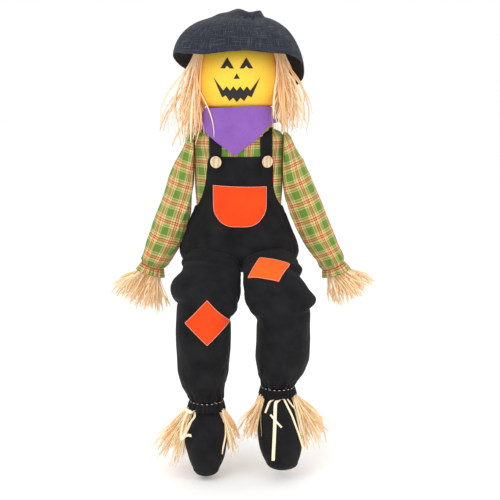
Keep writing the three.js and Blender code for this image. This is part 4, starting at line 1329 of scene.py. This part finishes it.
def make_leg(side, sign):
    line, distance = leg_path(side)
    total = distance[-1]
    rows, columns = 104, 92
    share = np.linspace(0, 1, rows)
    s = share * total
    centre = np.stack([np.interp(s, distance, line[:, k]) for k in range(3)], axis=1)
    along = unit(np.gradient(centre, axis=0))
    hip, knee = joint_place("hip_" + side), joint_place("knee_" + side)
    across = unit(np.cross(knee - hip, (0, 0, -1)))
    across = across if across[0] * sign > 0 else -across
    front = unit(np.cross(across, along))
    front = np.where((front[:, 1] > 0)[:, None], -front, front)
    outer, inner, thick = (softened(v, 1) * MM for v in between(LEG_SHAPE[side], share))
    turn = full_turn(columns)
    cosine, sine = np.cos(turn), np.sin(turn)
    roundness = (np.abs(cosine) ** 2.2 + np.abs(sine) ** 2.2) ** (-1 / 2.2)
    swell = np.zeros((rows, columns))
    for place, angle, height, length, spread in LEG_FOLDS[side]:
        off = (turn - angle + math.pi) % TAU - math.pi
        crease = (s[:, None] - place * total - 14 * MM * np.sin(off)) / (length * MM)
        swell += height * MM * np.exp(-crease ** 2) * np.exp(-(off / spread) ** 2)
    chance = np.random.default_rng(17 + sign)
    phase = chance.uniform(0, TAU, 6)
    near_hem = np.exp(-(total - s) / (38 * MM))[:, None]
    gathers = near_hem * (2.8 * np.cos(13 * turn + phase[0]) + 1.8 * np.cos(21 * turn + phase[1])) * MM
    back = np.maximum(-sine, 0)[None, :] * np.exp(-((share - 0.44) / 0.09) ** 2)[:, None]
    crushed = back * 5 * MM * np.sin(s / (6.5 * MM))[:, None]
    swell += gathers + crushed
    width = np.where(cosine > 0, outer[:, None], inner[:, None])
    ring_x = (width * roundness + swell) * cosine
    ring_y = (thick[:, None] * roundness + swell) * sine
    points = centre[:, None] + ring_x[..., None] * across + ring_y[..., None] * front[:, None]
    soft = bumps(points, 55 * MM, 41 + sign) * 3.0 * MM * smoothstep(0.02, 0.15, share)[:, None]
    points += soft[..., None] * unit(points - centre[:, None])
    obj = grid_object("trouser_" + side, points, cloth_uv(points, 0.46), wrap=True, cap_start=True,
                      cap_end=True)
    place = np.append(np.repeat(share, columns), [0, 1])
    cap = np.interp(place, [0, 0.12, 0.25, 0.9, 1], np.array([1, 3, 6, 6, 1]) * MM)
    simulate(turn_outwards(obj), (place > 0.985) | (place < 0.05), cap, growth=0.07)
    keep_apart(obj, sign)
    subdivide(obj)
    dress(obj, "black_twill")
    knee_blend(obj)
    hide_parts("trouser_leg_" + side, "thigh_stuffing_" + side, "shin_stuffing_" + side)
    return obj


def keep_apart(obj, sign):
    """Flattens the inner side of a leg where it touches the other leg, at the plane between the two."""
    plane = (joint_place("hip_left") + joint_place("hip_right"))[0] / 2 + 4 * MM
    co = coordinates(obj)
    over = (plane - co[:, 0]) * sign + 1 * MM
    co[:, 0] += np.where(over > 0, over, 0) * sign
    set_coordinates(obj, co)


def knee_blend(obj):
    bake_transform(obj)


def make_patch(name, direction, right, up, spin, slant, paint, leg_tree):
    """A square of felt on a trouser leg, turned by spin and pulled askew by slant."""
    half = PATCH_SIZE / 2
    right, up = unit(right), unit(up)
    right, up = right * math.cos(spin) + up * math.sin(spin), up * math.cos(spin) - right * math.sin(spin)
    square = [(-half, -half), (half, -half), (half, half), (-half, half)]
    start = middle(name) - unit(direction) * 0.2
    place = lambda x, z: start + right * (x + slant * z) + up * z
    obj = applique(name + "_felt", square, place, leg_tree, direction, 2.0 * MM, 1.6 * MM)
    dress(obj, paint)
    knee_blend(obj)
    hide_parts(name)
    edge = edge_stitches(name + "_stitching", square, 1.4 * MM, place, leg_tree, direction, 2.5 * MM)
    dress(edge, "pale_thread")
    knee_blend(edge)


def make_knee_patch(leg_tree):
    make_patch("patch_left_knee", (0, 1, 0), (1, 0, 0), (0, 0, 1), math.pi / 4, 0.0, "orange_felt",
               leg_tree)


def make_thigh_patch(leg_tree):
    thigh = unit(joint_place("knee_right") - joint_place("hip_right"))
    sideways = np.array(JOINTS["hip_right"]["axis"], float)
    inward = unit(np.cross(thigh, sideways))
    inward = inward if inward[2] < 0 else -inward
    spin = math.radians(-18)
    make_patch("patch_right_thigh", inward, sideways, -thigh, spin, 0.17, "patch_felt", leg_tree)


def make_ankle(side, sign):
    ankle, knee = joint_place("ankle_" + side), joint_place("knee_" + side)
    along = unit(ankle - knee)
    across = unit(np.array(JOINTS["ankle_" + side]["axis"], float))
    deep = np.cross(along, across)
    radius = box("ankle_elastic_" + side)[1][0] - ankle[0] - 1.5 * MM
    points = ruffle(ankle + along * 4 * MM, along, across, deep, radius, radius + 6 * MM, 22 * MM, 2.6 * MM,
                    21, 13 + sign)
    obj = grid_object("trouser_ruffle_" + side, points, cloth_uv(points, 0.46), wrap=True)
    thicken(obj, 1.8 * MM, offset=0.0, rounded=1)
    fit(obj, "shin_" + side, "black_twill", "trouser_frill_" + side, "ankle_elastic_" + side)
    gathered = ankle + along * 2 * MM + (radius + 2.4 * MM) * round_line(full_turn(90), across, deep)
    line = stitches("ankle_stitching_" + side, gathered, 6 * MM, 6.5 * MM, 0.6 * MM, closed=True)
    fit(line, "shin_" + side, "white_thread", slot="elastic")


def make_boot(side, sign):
    ankle = joint_place("ankle_" + side)
    low, _ = box("boot_" + side)
    tree = cad_tree("boot_" + side)
    pitch = math.radians(17 if side == "left" else 15)
    along = np.array([0, -math.sin(pitch), -math.cos(pitch)])
    length = (ankle[2] - low[2]) / math.cos(pitch)
    across = unit(np.array(JOINTS["ankle_" + side]["axis"], float))
    along = unit(along - across * np.dot(along, across))
    deep = unit(np.cross(along, across))
    deep = deep if deep[1] < 0 else -deep
    toe = length * (0.9 + 0.1 * np.sin(np.linspace(0.12, 1.45, 12)))
    s = np.concatenate([np.linspace(9 * MM, length * 0.9, 40), toe])
    inner = np.linspace(18 * MM, length - 6 * MM, 26)
    radii = softened([reach(tree, ankle + along * q, across) for q in inner], 2)
    r = np.interp(s, inner, radii)
    rounded = 22 * MM
    end = np.clip((length - s) / rounded, 0, 1)
    closing = np.sqrt(np.clip(1 - (1 - end) ** 2, 0.002, 1))
    r = np.where(end < 1, np.interp(length - rounded, inner, radii) * closing, r)
    columns = 64
    turn = full_turn(columns)
    depth = 0.84
    seam = -np.exp(-((turn - math.pi / 2) / 0.05) ** 2) * 1.2 * MM
    gathers = np.exp(-(s - 16 * MM) / (16 * MM))[:, None] * 1.5 * MM * np.cos(13 * turn + sign)
    centre = ankle + along * s[:, None]
    radius = r[:, None] + seam + gathers
    radius = radius * (0.6 + 0.4 * smoothstep(8 * MM, 18 * MM, s))[:, None]
    if side == "left":
        radius = radius * (1 + 0.08 * np.exp(-((s / length - 0.55) / 0.22) ** 2))[:, None]
    else:
        centre = centre + across * (12 * MM * (s / length) ** 1.5)[:, None]
    points = centre[:, None] + radius[..., None] * round_line(turn, across, depth * deep)
    points += bumps(points, 42 * MM, 51 + sign)[..., None] * 2.4 * MM * unit(points - centre[:, None])
    obj = grid_object("boot_cloth_" + side, points, cloth_uv(points, 0.3), wrap=True, cap_start=True,
                      cap_end=True)
    station = (coordinates(obj) - ankle) @ along
    simulate(turn_outwards(obj), station < 24 * MM, 3.5 * MM, growth=0.04, frames=14)
    subdivide(obj)
    fit(obj, "foot_" + side, "boot_cloth", "boot_" + side, "boot_stuffing_" + side)
    return obj


# ---------- studio ----------
def make_studio():
    floor = make_object("floor", [(-6, -5, FLOOR), (6, -5, FLOOR), (6, 9, FLOOR), (-6, 9, FLOOR)],
                        [(0, 1, 2, 3)])
    r = Recipe("floor_paint", Roughness=0.9)
    r.shader.inputs["Base Color"].default_value = (1, 1, 1, 1)
    floor.data.materials.append(r.material)
    world = bpy.data.worlds.new("studio")
    world.use_nodes = True
    world.node_tree.nodes["Background"].inputs["Color"].default_value = (1, 1, 1, 1)
    world.node_tree.nodes["Background"].inputs["Strength"].default_value = 1.0
    bpy.context.scene.world = world
    lights = [((-1.7, -2.4, 2.3), 2.2, 34), ((2.1, -1.9, 1.5), 2.0, 12), ((0.2, 1.8, 2.2), 2.0, 14)]
    for place, size, power in lights:
        data = bpy.data.lights.new("soft_light", "AREA")
        data.size = size
        data.energy = power
        lamp = bpy.data.objects.new("soft_light", data)
        bpy.context.scene.collection.objects.link(lamp)
        lamp.location = place
        lamp.rotation_euler = (Vector((0, 0, 0.15)) - Vector(place)).to_track_quat("-Z", "Y").to_euler()
    bpy.context.scene.view_settings.view_transform = "Standard"


def make_camera():
    data = bpy.data.cameras.new("camera")
    data.lens = CAMERA["lens"]
    data.sensor_width = 36
    camera = bpy.data.objects.new("camera", data)
    bpy.context.scene.collection.objects.link(camera)
    camera.location = CAMERA["place"]
    camera.rotation_euler = (math.pi / 2 - CAMERA["down"], 0, 0)
    bpy.context.scene.camera = camera


make_camera()
make_studio()
shirt = make_shirt()
make_collar()
make_collar_fold()
overalls = make_overalls()
overalls_tree = mesh_tree(overalls)
straps = make_straps(mesh_tree(shirt))
make_pocket(overalls_tree)
make_buttons([overalls_tree, *(mesh_tree(strap) for strap in straps)])
head = make_head()
head_tree = mesh_tree(head)
make_face(head_tree)
make_hat()
make_neckerchief()
for side, sign in SIDES.items():
    make_arm(side, sign)
    make_hand(side, sign)
    make_hair(side, sign, [head_tree])
    leg_tree = mesh_tree(make_leg(side, sign))
    if side == "left":
        make_knee_patch(leg_tree)
    else:
        make_thigh_patch(leg_tree)
    make_ankle(side, sign)
    boot_tree = mesh_tree(make_boot(side, sign))
    make_ankle_straw(side, sign, boot_tree)
    make_ankle_ties(side, boot_tree)
